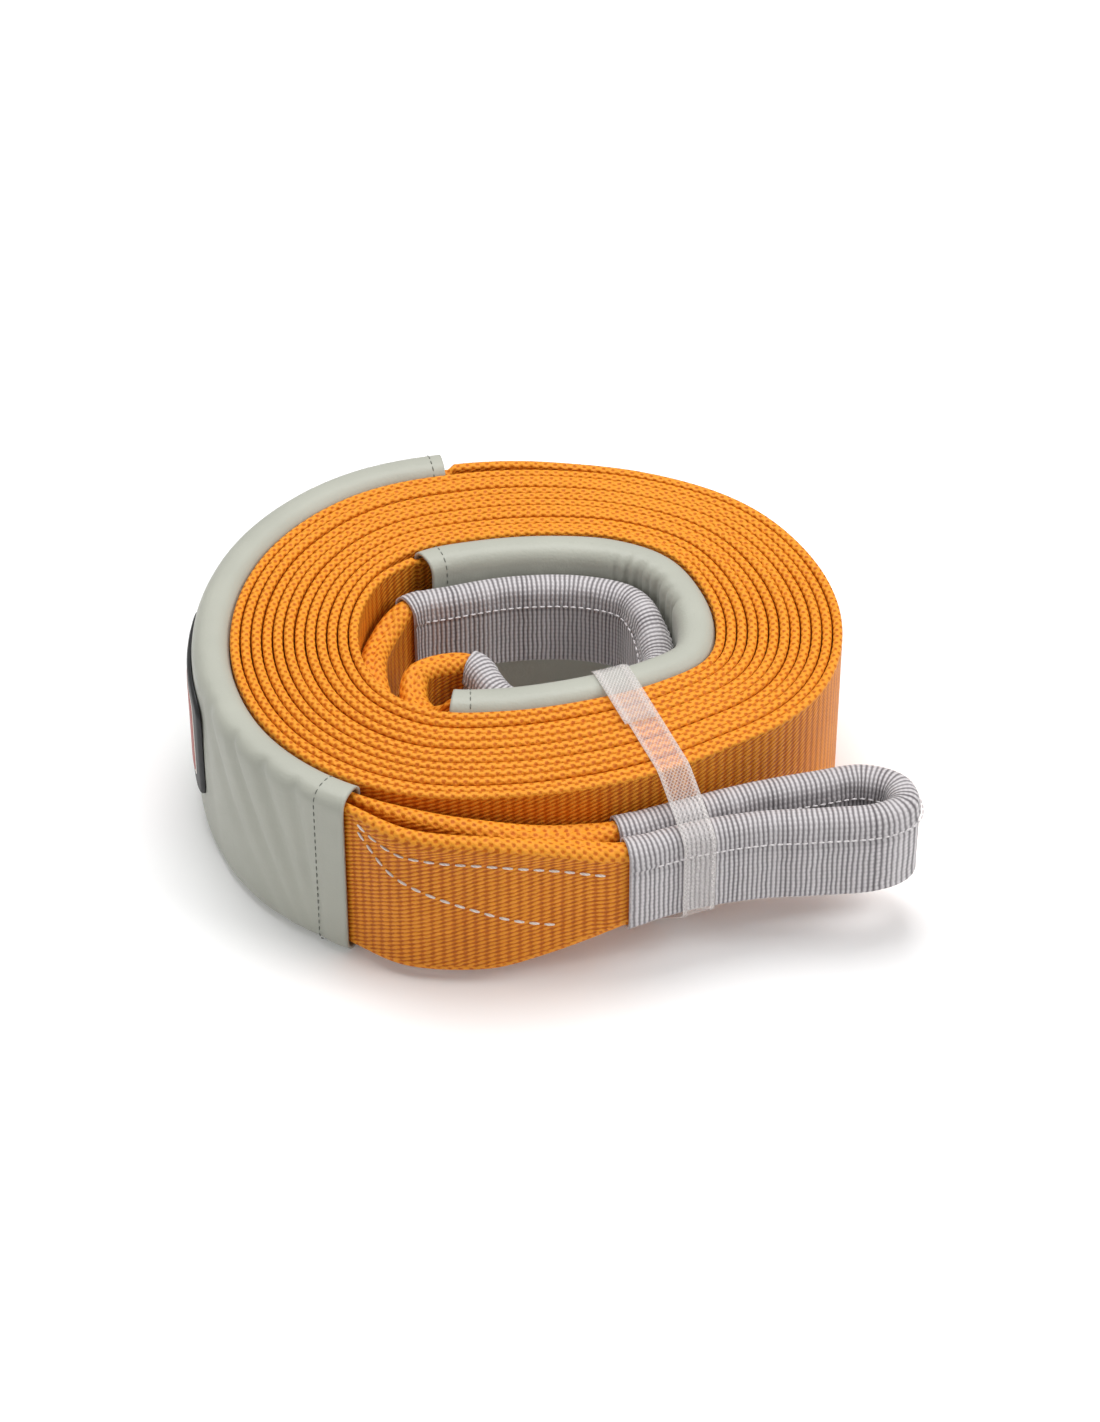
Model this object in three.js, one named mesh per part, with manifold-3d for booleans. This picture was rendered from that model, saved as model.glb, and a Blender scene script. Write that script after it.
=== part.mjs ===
// Kinetic recovery strap: one long nylon webbing rolled flat on its edge, with a loop (eye) at each end,
// a woven wear sleeve on each eye, a vinyl sleeve over each sewn splice, a patch and a tie band.
// Millimetres, +Z up. The roll stands on the floor; plan positions are given from the middle of the bore.
import * as THREE from 'three';
import { mergeVertices } from 'three/addons/utils/BufferGeometryUtils.js';
import Module from 'manifold-3d';

const wasm = await Module();
wasm.setup();

// Driving dimensions of the webbing and its roll
const webbingWidth = 80;
const webbingThickness = 4.1;
const turns = 12;
const turnGap = 0.5;
const fitGap = 0.3;
const grooveWidth = 1.1;
const grooveDepth = 1.8;

// The roll is drawn with this many flats to a turn, and neighbours end on the same stations
const stationsPerTurn = 36;

function onStation(turn) {
  return Math.round(turn * stationsPerTurn) / stationsPerTurn;
}

// Outline of the bore, clockwise from the back left, x and y from the middle of the bore
const boreOutline = [
  [-57, 53.5], [-32, 62], [0, 66], [28, 63.5], [50, 52], [63, 30], [68, 5], [64, -16],
  [45, -31], [14, -43.5], [-20, -51], [-48, -50.5], [-68, -37], [-79, -14], [-80.5, 12], [-73, 36],
];

// Stretches where the turns are pulled tight, as shares of a turn
const tightStretches = [
  { middle: 0.22, reach: 0.09, tightness: 0.9 },
  { middle: 0.47, reach: 0.06, tightness: 0.7 },
];

// Vinyl sleeves over the two splices
const spliceSleeveWall = 1.3;
const spliceFit = 0.6;
const splicePlies = 3;
const spliceEdgeRadius = 4.1;
const spliceEdgeDrop = 2.5;
const outerSleeveStart = onStation(0.055);
const outerSleeveMouth = onStation(0.722);
const innerSleeveStart = onStation(0);
const innerSleeveMouth = onStation(0.694);

// Folded webbing of the eyes and the woven wear sleeves on them
const foldedThickness = 10.4;
const eyeSleeveWall = 1.3;
const legGap = 0.6;
const outerEyeRise = 4;
const innerEyeRise = 12;

// Moulded patch on the outer splice sleeve
const patchThickness = 2.4;
const patchHeight = 54;
const patchRise = 5;
const patchStart = 0.815;
const patchEnd = 0.9;

// Plastic tie band round the front of the roll
const bandTurn = 0.524;
const bandWidth = 14;
const bandThickness = 0.5;
const bandSlack = 1.2;

// Values that follow from the ones above
const liftOffFloor = spliceSleeveWall + spliceFit;
const webbingMiddle = liftOffFloor + webbingWidth / 2;
const webbingTop = liftOffFloor + webbingWidth;
const packThickness = splicePlies * webbingThickness;
const sleeveThickness = packThickness + 2 * (spliceFit + spliceSleeveWall);
const sleeveHeight = webbingWidth + 2 * (spliceFit + spliceSleeveWall);
const foldedHeight = webbingWidth / 2;
const eyeSleeveThickness = foldedThickness + 2 * (fitGap + eyeSleeveWall);
const eyeSleeveHeight = foldedHeight + 2 * (fitGap + eyeSleeveWall);

const bore = new THREE.CatmullRomCurve3(
  boreOutline.map(([x, y]) => new THREE.Vector3(x, y, 0)), true, 'centripetal');
bore.arcLengthDivisions = 1200;
const boreLength = bore.getLength();

function wrapTurn(turn) {
  return turn - Math.floor(turn);
}

// A station on the bore: its point, the way the webbing runs (clockwise) and the way out of the roll
function boreStation(turn) {
  const smoothing = 0.022;
  const before = bore.getPointAt(wrapTurn(turn - smoothing));
  const after = bore.getPointAt(wrapTurn(turn + smoothing));
  const along = after.sub(before).normalize();
  const outward = new THREE.Vector3(-along.y, along.x, 0);
  return { point: bore.getPointAt(wrapTurn(turn)), along, outward };
}

function pitchAt(turn) {
  let slack = 1;
  for (const stretch of tightStretches) {
    const away = (wrapTurn(turn) - stretch.middle) / stretch.reach;
    slack -= stretch.tightness * Math.exp(-away * away);
  }
  return webbingThickness + turnGap * Math.max(slack, 0);
}

// How far the inner face of the webbing lies outside the bore outline, a number of turns from its outer end
function turnOffset(turn) {
  return pitchAt(turn) * (turns - turn);
}

function offsetPoint(turn, distance, height = 0) {
  const station = boreStation(turn);
  const point = station.point.addScaledVector(station.outward, distance);
  point.z = height;
  return point;
}

// Section outlines are lists of [across, up], counter-clockwise
function roundedSection(thickness, height, radius, steps = 2) {
  const corner = Math.min(radius, thickness / 2 - 0.01, height / 2 - 0.01);
  const outline = [];
  const corners = [[1, -1], [1, 1], [-1, 1], [-1, -1]];
  corners.forEach(([sideAcross, sideUp], index) => {
    const middleAcross = sideAcross * (thickness / 2 - corner);
    const middleUp = sideUp * (height / 2 - corner);
    for (let step = 0; step <= steps; step += 1) {
      const angle = ((index - 1 + step / steps) * Math.PI) / 2;
      outline.push([middleAcross + corner * Math.cos(angle), middleUp + corner * Math.sin(angle)]);
    }
  });
  return outline;
}

// One closed body through a row of rings of points
function bodyThroughRings(rings) {
  const count = rings[0].length;
  const positions = rings.flat().flatMap((point) => [point.x, point.y, point.z]);
  const faces = [];
  for (let ring = 0; ring < rings.length - 1; ring += 1) {
    const here = ring * count;
    const next = here + count;
    for (let side = 0; side < count; side += 1) {
      const after = (side + 1) % count;
      faces.push(here + side, here + after, next + side);
      faces.push(here + after, next + after, next + side);
    }
  }
  const last = (rings.length - 1) * count;
  for (let side = 1; side < count - 1; side += 1) {
    faces.push(0, side + 1, side);
    faces.push(last, last + side, last + side + 1);
  }
  const geometry = new THREE.BufferGeometry();
  geometry.setAttribute('position', new THREE.Float32BufferAttribute(positions, 3));
  geometry.setIndex(signedVolume(positions, faces) < 0 ? flipFaces(faces) : faces);
  return geometry;
}

function flipFaces(faces) {
  const flipped = [];
  for (let face = 0; face < faces.length; face += 3) {
    flipped.push(faces[face], faces[face + 2], faces[face + 1]);
  }
  return flipped;
}

function signedVolume(positions, faces) {
  const corner = (index) => new THREE.Vector3().fromArray(positions, 3 * index);
  let volume = 0;
  for (let face = 0; face < faces.length; face += 3) {
    const [a, b, c] = [corner(faces[face]), corner(faces[face + 1]), corner(faces[face + 2])];
    volume += a.dot(b.cross(c)) / 6;
  }
  return volume;
}

function toSolid(geometry) {
  const bare = geometry.clone();
  bare.deleteAttribute('normal');
  bare.deleteAttribute('uv');
  const merged = mergeVertices(bare, 1e-4);
  return new wasm.Manifold(new wasm.Mesh({
    numProp: 3,
    vertProperties: new Float32Array(merged.attributes.position.array),
    triVerts: new Uint32Array(merged.index.array),
  }));
}

function toGeometry(solid) {
  const mesh = solid.getMesh();
  const geometry = new THREE.BufferGeometry();
  geometry.setAttribute('position', new THREE.BufferAttribute(mesh.vertProperties, 3));
  geometry.setIndex(new THREE.BufferAttribute(mesh.triVerts, 1));
  geometry.computeVertexNormals();
  return geometry;
}

// The turns at which a stretch of the roll is drawn: its two ends and every station between them
function turnsBetween(fromTurn, toTurn) {
  const low = Math.min(fromTurn, toTurn);
  const high = Math.max(fromTurn, toTurn);
  const margin = 0.1;
  const drawn = [low];
  const first = Math.ceil(low * stationsPerTurn + margin);
  for (let station = first; station < high * stationsPerTurn - margin; station += 1) {
    drawn.push(station / stationsPerTurn);
  }
  drawn.push(high);
  return fromTurn < toTurn ? drawn : drawn.reverse();
}

// Rings of a section carried along the roll between two turns; distance(turn) is its middle
function ringsAlongRoll(section, fromTurn, toTurn, distance, height) {
  const rings = [];
  for (const turn of turnsBetween(fromTurn, toTurn)) {
    const station = boreStation(turn);
    const middle = station.point.addScaledVector(station.outward, distance(turn));
    const outline = typeof section === 'function' ? section(turn) : section;
    rings.push(outline.map(([across, up]) => new THREE.Vector3(
      middle.x + station.outward.x * across, middle.y + station.outward.y * across, height + up)));
  }
  return rings;
}

// The roll: an upright ring with its bore and a fine spiral groove on each end, between the turns
const outerEnd = onStation(outerSleeveStart + 0.11);
const innerEnd = onStation(innerSleeveStart - 0.055);

function rollRing() {
  const shape = new THREE.Shape();
  const hole = new THREE.Path();
  const outside = [];
  const inside = [];
  for (let step = 0; step <= stationsPerTurn; step += 1) {
    const outerTurn = outerEnd + step / stationsPerTurn;
    const outer = offsetPoint(outerTurn, turnOffset(outerTurn) + webbingThickness);
    outside.push(new THREE.Vector2(outer.x, outer.y));
    const innerTurn = turns - 1 + innerEnd + step / stationsPerTurn;
    const inner = offsetPoint(innerTurn, turnOffset(innerTurn));
    inside.push(new THREE.Vector2(inner.x, inner.y));
  }
  shape.setFromPoints(outside.reverse());
  hole.setFromPoints(inside);
  shape.holes.push(hole);
  const ring = new THREE.ExtrudeGeometry(shape, { depth: webbingWidth, bevelEnabled: false });
  return ring.translate(0, 0, liftOffFloor);
}

function spiralGroove(faceHeight, side) {
  const rings = [];
  const from = outerEnd - 0.01;
  const to = turns - 1 + innerEnd + 0.01;
  const steps = Math.round((to - from) * stationsPerTurn);
  const mouth = grooveWidth / 2;
  const proud = 0.4;
  for (let step = 0; step <= steps; step += 1) {
    const turn = from + ((to - from) * step) / steps;
    const middle = turnOffset(turn) - (pitchAt(turn) - webbingThickness) / 2;
    rings.push([
      offsetPoint(turn, middle - mouth, faceHeight + side * proud),
      offsetPoint(turn, middle, faceHeight - side * grooveDepth),
      offsetPoint(turn, middle + mouth, faceHeight + side * proud),
    ]);
  }
  return bodyThroughRings(rings);
}

// Distance from the bore outline to the middle of each splice, outside and inside the roll
const spliceStandOff = fitGap + sleeveThickness / 2;

function outerSpliceDistance(turn) {
  return turnOffset(wrapTurn(turn - outerEnd) + outerEnd) + webbingThickness + spliceStandOff;
}

function innerSpliceDistance(turn) {
  return turnOffset(turns - 1 + wrapTurn(turn - innerEnd) + innerEnd) - spliceStandOff;
}

// Blends from 0 to 1 between two values, slowly at both ends
function ease(value, from, to) {
  const share = Math.min(Math.max((value - from) / (to - from), 0), 1);
  return share * share * (3 - 2 * share);
}

// Inside a splice sleeve the outer plies are a little lower than the webbing, under its rounded edges
function plySection(turn, sleeveStart, intoSleeve) {
  const inSleeve = (turn - sleeveStart) * intoSleeve > -0.001;
  const height = webbingWidth - (inSleeve ? 2 * spliceEdgeDrop : 0);
  return roundedSection(webbingThickness, height, 0.8, 1);
}

function packSection() {
  return roundedSection(packThickness, webbingWidth, spliceEdgeRadius);
}

// The webbing leaves the roll as a single ply, stands off it a little and enters the outer splice
function outerLeadIn() {
  const join = outerEnd + 0.012;
  const inSleeve = outerSleeveStart - 0.03;
  const rollMiddle = (turn) => turnOffset(turn) + webbingThickness / 2;
  const sleeveMiddle = (turn) => outerSpliceDistance(turn) - packThickness / 2 + webbingThickness / 2;
  const distance = (turn) => {
    const away = ease(turn, join, outerSleeveStart + 0.01);
    return rollMiddle(turn) + away * (sleeveMiddle(turn) - rollMiddle(turn));
  };
  const section = (turn) => plySection(turn, outerSleeveStart, -1);
  return bodyThroughRings(ringsAlongRoll(section, join, inSleeve, distance, webbingMiddle));
}

function innerLeadIn() {
  const join = innerEnd - 0.012;
  const inSleeve = innerSleeveStart + 0.03;
  const rollMiddle = (turn) => turnOffset(turns - 1 + wrapTurn(turn - innerEnd) + innerEnd);
  const distance = (turn) => {
    const away = ease(turn, innerEnd, innerSleeveStart - 0.006);
    const besideRoll = webbingThickness / 2 + turnOffset(turns + turn);
    const sleeveReach = fitGap + spliceSleeveWall + spliceFit;
    const inSplice = rollMiddle(innerSleeveStart) - sleeveReach - webbingThickness / 2;
    return besideRoll + away * (inSplice - besideRoll);
  };
  const section = (turn) => plySection(turn, innerSleeveStart, 1);
  return bodyThroughRings(ringsAlongRoll(section, join, inSleeve, distance, webbingMiddle));
}

// The sewn plies end one station inside each mouth, where the two legs of the eye part
function outerPack() {
  const to = outerSleeveMouth + 1 / stationsPerTurn;
  return bodyThroughRings(ringsAlongRoll(
    packSection(), 1 + outerSleeveStart - 0.012, to, outerSpliceDistance, webbingMiddle));
}

function innerPack() {
  const to = innerSleeveMouth - 1 / stationsPerTurn;
  return bodyThroughRings(ringsAlongRoll(
    packSection(), innerSleeveStart + 0.012, to, innerSpliceDistance, webbingMiddle));
}

function spliceSleeve(fromTurn, toTurn, distance) {
  const outerRadius = spliceEdgeRadius + spliceFit + spliceSleeveWall;
  const outside = roundedSection(sleeveThickness, sleeveHeight, outerRadius);
  const inside = roundedSection(
    sleeveThickness - 2 * spliceSleeveWall, sleeveHeight - 2 * spliceSleeveWall, spliceEdgeRadius + spliceFit);
  const past = 0.004 * Math.sign(toTurn - fromTurn);
  const body = toSolid(bodyThroughRings(ringsAlongRoll(outside, fromTurn, toTurn, distance, webbingMiddle)));
  const hollow = toSolid(bodyThroughRings(
    ringsAlongRoll(inside, fromTurn - past, toTurn + past, distance, webbingMiddle)));
  return body.subtract(hollow);
}

// Eyes: the webbing folded in half along its length and laid in a loop.
// Each stop on a loop has a plan point, the height of its middle, and its section's height and thickness.
function rollPoint(turn, out, along = 0) {
  const station = boreStation(turn);
  const point = station.point.addScaledVector(station.outward, turnOffset(turn) + webbingThickness + out);
  return point.addScaledVector(station.along, along);
}

function boreWallPoint(turn, inward) {
  const station = boreStation(turn);
  const face = turnOffset(turns - 1 + wrapTurn(turn - innerEnd) + innerEnd);
  return station.point.addScaledVector(station.outward, face - inward);
}

function foldedStop(at, rise) {
  return { at, middle: webbingMiddle + rise, height: foldedHeight, thickness: foldedThickness };
}

// Where the eye leaves a splice the webbing is one ply at full width; share says how far it has folded
function foldingStop(at, rise, share) {
  const fullHeight = webbingWidth - 2 * spliceEdgeDrop;
  return {
    at,
    middle: webbingMiddle + rise * share,
    height: fullHeight + share * (foldedHeight - fullHeight),
    thickness: webbingThickness + share * (foldedThickness - webbingThickness),
  };
}

function outerEyeStops() {
  const rise = outerEyeRise;
  const farOut = legGap + eyeSleeveThickness / 2;
  const nearOut = farOut + eyeSleeveThickness + legGap;
  const sewnIn = outerSleeveMouth + 1.3 / stationsPerTurn;
  const nearPly = spliceStandOff + 0.85 * webbingThickness;
  const farPly = spliceStandOff - 0.85 * webbingThickness;
  const loop = (ahead, out) => foldedStop(rollPoint(bandTurn, farOut + out, -ahead), rise);
  return [
    foldingStop(rollPoint(sewnIn, nearPly), rise, 0),
    foldingStop(rollPoint(outerSleeveMouth, nearPly), rise, 0),
    foldingStop(rollPoint(0.7, nearPly + 7), rise, 0.08),
    foldingStop(rollPoint(0.665, nearPly + 9), rise, 0.3),
    foldingStop(rollPoint(0.62, nearPly + 8.5), rise, 0.75),
    foldedStop(rollPoint(0.575, nearOut), rise),
    foldedStop(rollPoint(bandTurn, nearOut), rise),
    loop(27, eyeSleeveThickness + 5),
    loop(54, eyeSleeveThickness + 15),
    loop(75, eyeSleeveThickness + 23),
    loop(88, eyeSleeveThickness + 22),
    loop(92, eyeSleeveThickness + 11),
    loop(83, eyeSleeveThickness),
    loop(62, 9),
    loop(34, 2),
    foldedStop(rollPoint(bandTurn, farOut), rise),
    foldedStop(rollPoint(0.575, farOut), rise),
    foldingStop(rollPoint(0.62, farOut + 1), rise, 0.75),
    foldingStop(rollPoint(0.665, farOut + 1), rise, 0.3),
    foldingStop(rollPoint(0.7, farPly + 1), rise, 0.08),
    foldingStop(rollPoint(outerSleeveMouth, farPly), rise, 0),
    foldingStop(rollPoint(sewnIn, farPly), rise, 0),
  ];
}

// The inner eye lies in the bore, against the inner splice sleeve, with its two ends curled past each other
function innerEyeStops() {
  const beside = 2 * fitGap + sleeveThickness + bandThickness + legGap + eyeSleeveThickness / 2;
  const wallSide = legGap + foldedThickness / 2;
  const inside = wallSide + foldedThickness + legGap;
  const sewnIn = innerSleeveMouth - 1.3 / stationsPerTurn;
  const outerPly = spliceStandOff - webbingThickness;
  const innerPly = spliceStandOff + webbingThickness;
  const front = 0.15 * innerEyeRise;
  const half = 0.5 * innerEyeRise;
  return [
    foldingStop(boreWallPoint(sewnIn, innerPly), 0, 0),
    foldingStop(boreWallPoint(innerSleeveMouth, innerPly), 0, 0),
    foldingStop(boreWallPoint(0.715, innerPly + 3.5), 0, 0.5),
    foldedStop(boreWallPoint(0.748, inside + 1), front),
    foldedStop(boreWallPoint(0.79, inside + 2.5), front),
    foldedStop(boreWallPoint(0.83, inside + 7), half),
    foldedStop(boreWallPoint(0.85, inside + 17), half),
    foldedStop(boreWallPoint(0.845, inside + 31), half),
    foldedStop(boreWallPoint(0.63, beside + 9), front),
    foldedStop(boreWallPoint(0.57, beside), 0),
    foldedStop(boreWallPoint(0.52, beside), 0),
    foldedStop(boreWallPoint(0.47, beside), front),
    foldedStop(boreWallPoint(0.42, beside), half),
    foldedStop(boreWallPoint(0.365, beside), half),
    foldedStop(boreWallPoint(0.31, beside), innerEyeRise),
    foldedStop(boreWallPoint(0.25, beside), innerEyeRise),
    foldedStop(boreWallPoint(0.17, beside), innerEyeRise),
    foldedStop(boreWallPoint(0.09, beside), innerEyeRise),
    foldedStop(boreWallPoint(0.02, beside + 1), innerEyeRise),
    foldedStop(boreWallPoint(0.945, inside), innerEyeRise),
    foldedStop(boreWallPoint(0.9, wallSide + 2), half),
    foldedStop(boreWallPoint(0.86, wallSide), half),
    foldedStop(boreWallPoint(0.815, wallSide), front),
    foldedStop(boreWallPoint(0.77, wallSide), front),
    foldingStop(boreWallPoint(0.725, wallSide), 0, 0.7),
    foldingStop(boreWallPoint(innerSleeveMouth, outerPly), 0, 0),
    foldingStop(boreWallPoint(sewnIn, outerPly), 0, 0),
  ];
}

// Rings along a row of stops, from one place in the row to another; grow widens the section all round
function ringsAlongStops(stops, fromPlace, toPlace, grow, stepsPerStop = 2) {
  const curve = new THREE.CatmullRomCurve3(stops.map((stop) => stop.at), false, 'centripetal');
  const last = stops.length - 1;
  const places = [fromPlace];
  for (let step = Math.floor(fromPlace * stepsPerStop) + 1; step < toPlace * stepsPerStop; step += 1) {
    places.push(step / stepsPerStop);
  }
  places.push(toPlace);
  const rings = [];
  for (const place of places) {
    const before = Math.min(Math.max(Math.floor(place), 0), last - 1);
    const share = place - before;
    const value = (name) => stops[before][name] + share * (stops[before + 1][name] - stops[before][name]);
    const middle = curve.getPoint(place / last);
    const along = curve.getTangent(place / last);
    const outward = new THREE.Vector3(-along.y, along.x, 0).normalize();
    const thickness = value('thickness') + 2 * grow;
    const section = roundedSection(thickness, value('height') + 2 * grow, thickness / 2);
    rings.push(section.map(([across, up]) => new THREE.Vector3(
      middle.x + outward.x * across, middle.y + outward.y * across, value('middle') + up)));
  }
  return rings;
}

function eyeWebbing(stops) {
  return bodyThroughRings(ringsAlongStops(stops, 0, stops.length - 1, 0));
}

// A woven wear sleeve on an eye, open at both ends
function eyeSleeve(stops, fromPlace, toPlace) {
  const past = 0.12;
  const body = toSolid(bodyThroughRings(ringsAlongStops(stops, fromPlace, toPlace, fitGap + eyeSleeveWall)));
  const hollow = toSolid(bodyThroughRings(ringsAlongStops(stops, fromPlace - past, toPlace + past, fitGap)));
  return body.subtract(hollow);
}

// The band's path in the upright plane through its turn, as [distance out of the bore outline, height]
function bandPath() {
  const clear = fitGap + bandThickness / 2;
  const boreFace = turnOffset(turns - 1 + bandTurn);
  const sleeveInner = boreFace - fitGap - sleeveThickness;
  const sleeveTop = webbingMiddle + sleeveHeight / 2;
  const shoulder = spliceEdgeRadius - 1;
  const rollFace = turnOffset(bandTurn) + webbingThickness;
  const legFace = rollFace + 2 * (legGap + eyeSleeveThickness) + bandSlack;
  const legTop = webbingMiddle + outerEyeRise + eyeSleeveHeight / 2;
  const legBottom = legTop - eyeSleeveHeight;
  const underside = bandThickness / 2 + 0.1;
  return [
    [sleeveInner - clear, underside],
    [sleeveInner - clear, sleeveTop - shoulder],
    [sleeveInner + shoulder, sleeveTop + clear],
    [boreFace - shoulder, sleeveTop + clear],
    [rollFace + clear, webbingTop + clear],
    [legFace - shoulder, legTop + clear],
    [legFace + clear, legTop - shoulder],
    [legFace + clear, legBottom + shoulder],
    [legFace - shoulder, legBottom - clear],
    [rollFace + clear, liftOffFloor - clear],
    [boreFace, underside],
  ];
}

// Moves each side of a closed path sideways and joins them again at their corners
function offsetPath(path, distance) {
  return path.map((point, index) => {
    const previous = path[(index + path.length - 1) % path.length];
    const next = path[(index + 1) % path.length];
    const into = new THREE.Vector2(point[0] - previous[0], point[1] - previous[1]).normalize();
    const away = new THREE.Vector2(next[0] - point[0], next[1] - point[1]).normalize();
    const side = new THREE.Vector2(-into.y - away.y, into.x + away.x).normalize();
    const reach = distance / (side.x * -into.y + side.y * into.x);
    return new THREE.Vector2(point[0] + side.x * reach, point[1] + side.y * reach);
  });
}

// Sets a shape drawn as [out, up] upright on the bore outline at the band's turn
function standAtBand(geometry, width) {
  const station = boreStation(bandTurn);
  const across = station.along;
  const frame = new THREE.Matrix4().makeBasis(station.outward, new THREE.Vector3(0, 0, 1), across);
  frame.setPosition(station.point.addScaledVector(across, -width / 2));
  geometry.applyMatrix4(frame);
  return geometry;
}

function tieBand() {
  const path = bandPath();
  const shape = new THREE.Shape(offsetPath(path, bandThickness / 2).reverse());
  shape.holes.push(new THREE.Path(offsetPath(path, -bandThickness / 2)));
  return standAtBand(new THREE.ExtrudeGeometry(shape, { depth: bandWidth, bevelEnabled: false }), bandWidth);
}

// The band presses a shallow channel into the underside of the inner splice sleeve
function bandChannel() {
  const path = bandPath();
  const width = bandWidth + 2 * fitGap;
  const depth = 0.1 + bandThickness + fitGap;
  const [from] = path[0];
  const [to] = path[path.length - 1];
  const shape = new THREE.Shape([
    new THREE.Vector2(from - 1, -1),
    new THREE.Vector2(to + 1, -1),
    new THREE.Vector2(to + 1, depth),
    new THREE.Vector2(from - 1, depth),
  ]);
  return standAtBand(new THREE.ExtrudeGeometry(shape, { depth: width, bevelEnabled: false }), width);
}

function patchBody() {
  const section = roundedSection(patchThickness, patchHeight, patchThickness / 2, 2);
  const distance = (turn) => (
    outerSpliceDistance(turn) + sleeveThickness / 2 + fitGap + patchThickness / 2);
  return bodyThroughRings(
    ringsAlongRoll(section, patchStart, patchEnd, distance, webbingMiddle + patchRise));
}

function webbingBody() {
  let roll = toSolid(rollRing());
  roll = roll.subtract(toSolid(spiralGroove(webbingTop, 1)));
  roll = roll.subtract(toSolid(spiralGroove(liftOffFloor, -1)));
  const parts = [
    outerLeadIn(), innerLeadIn(), outerPack(), innerPack(),
    eyeWebbing(outerEyeStops()), eyeWebbing(innerEyeStops()),
  ];
  for (const part of parts) {
    roll = roll.add(toSolid(part));
  }
  return toGeometry(roll);
}

function outerSpliceSleeveBody() {
  return toGeometry(spliceSleeve(1 + outerSleeveStart, outerSleeveMouth, outerSpliceDistance));
}

function innerSpliceSleeveBody() {
  const sleeve = spliceSleeve(innerSleeveStart, innerSleeveMouth, innerSpliceDistance);
  return toGeometry(sleeve.subtract(toSolid(bandChannel())));
}

// Places on each eye, counted in stops, where its wear sleeve begins and ends
const outerEyeSleeveEnds = [5, 16];
const innerEyeSleeveEnds = [7, 19];

const group = new THREE.Group();

function addPiece(name, geometry, colour, roughness) {
  const material = new THREE.MeshStandardMaterial({ color: colour, roughness, metalness: 0 });
  const mesh = new THREE.Mesh(geometry, material);
  mesh.name = name;
  group.add(mesh);
}

const nylonOrange = 0xd9791c;
const vinylSage = 0xb9bcae;
const wovenGrey = 0x8c878a;
const rubberBlack = 0x2b2b2c;
const clearPlastic = 0xdcd4ce;

addPiece('webbing', webbingBody(), nylonOrange, 0.85);
addPiece('outer_splice_sleeve', outerSpliceSleeveBody(), vinylSage, 0.55);
addPiece('inner_splice_sleeve', innerSpliceSleeveBody(), vinylSage, 0.55);
addPiece('outer_eye_sleeve', toGeometry(eyeSleeve(outerEyeStops(), ...outerEyeSleeveEnds)), wovenGrey, 0.8);
addPiece('inner_eye_sleeve', toGeometry(eyeSleeve(innerEyeStops(), ...innerEyeSleeveEnds)), wovenGrey, 0.8);
addPiece('sleeve_patch', patchBody(), rubberBlack, 0.6);
addPiece('tie_band', tieBand(), clearPlastic, 0.35);

// The origin is under the middle of the whole object, on the floor
const extent = new THREE.Box3().setFromObject(group);
const middle = extent.getCenter(new THREE.Vector3());
group.position.set(-middle.x, -middle.y, -extent.min.z);

export default group;
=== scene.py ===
import math

import bpy
import numpy as np
from bpy.props import FloatProperty, FloatVectorProperty, IntProperty, PointerProperty
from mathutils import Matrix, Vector


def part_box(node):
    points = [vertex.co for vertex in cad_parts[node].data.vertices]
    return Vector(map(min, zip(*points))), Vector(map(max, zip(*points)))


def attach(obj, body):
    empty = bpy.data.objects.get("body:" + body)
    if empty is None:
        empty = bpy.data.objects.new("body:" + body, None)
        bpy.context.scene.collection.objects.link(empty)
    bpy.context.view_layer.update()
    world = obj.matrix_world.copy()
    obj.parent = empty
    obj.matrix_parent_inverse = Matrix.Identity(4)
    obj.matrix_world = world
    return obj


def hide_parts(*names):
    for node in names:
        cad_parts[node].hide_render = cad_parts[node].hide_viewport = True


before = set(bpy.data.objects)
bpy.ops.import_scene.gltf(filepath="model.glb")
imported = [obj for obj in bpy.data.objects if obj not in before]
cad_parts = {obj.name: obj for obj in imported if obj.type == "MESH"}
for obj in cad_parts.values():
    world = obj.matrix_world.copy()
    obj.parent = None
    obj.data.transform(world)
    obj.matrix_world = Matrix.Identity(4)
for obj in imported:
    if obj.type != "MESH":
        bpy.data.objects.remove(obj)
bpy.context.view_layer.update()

bl_info = {
    "name": "Kinetic Recovery Strap",
    "version": (1, 0, 0),
    "blender": (4, 5, 0),
    "location": "3D View > Sidebar > Strap",
    "description": "Builds a rolled recovery strap with sleeved eyes over its solid model",
    "category": "Object",
}

MM = 0.001

# Outline of the bore, clockwise from the back left, in millimetres from the middle of the bore
BORE_OUTLINE = [
    (-57, 53.5), (-32, 62), (0, 66), (28, 63.5), (50, 52), (63, 30), (68, 5), (64, -16),
    (45, -31), (14, -43.5), (-20, -51), (-48, -50.5), (-68, -37), (-79, -14), (-80.5, 12), (-73, 36),
]
STATIONS = 36
# Stretches where the turns are pulled tight: middle, reach, tightness
TIGHT_STRETCHES = [(0.22, 0.09, 0.9), (0.47, 0.06, 0.7)]
OUTER_SLEEVE = (2 / STATIONS, 26 / STATIONS)
INNER_SLEEVE = (0.0, 25 / STATIONS)
OUTER_END = 6 / STATIONS
INNER_END = -2 / STATIONS
SLEEVE_WALL = 1.3
SPLICE_FIT = 0.6
FIT_GAP = 0.3
FOLDED_THICK = 10.4
LEG_GAP = 0.6
OUTER_EYE_RISE = 4
INNER_EYE_RISE = 12
BAND_TURN = 0.524
# The sewn webbing of an eye is this much narrower than the rest
SEWN_NARROWER = 5
# How far the two sewn plies of the outer splice lie from its middle, in ply thicknesses
PLY_SHARE = 0.85
# How far an eye's webbing runs into its splice sleeve, in turns
SEWN_IN = 1.3 / STATIONS

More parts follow.
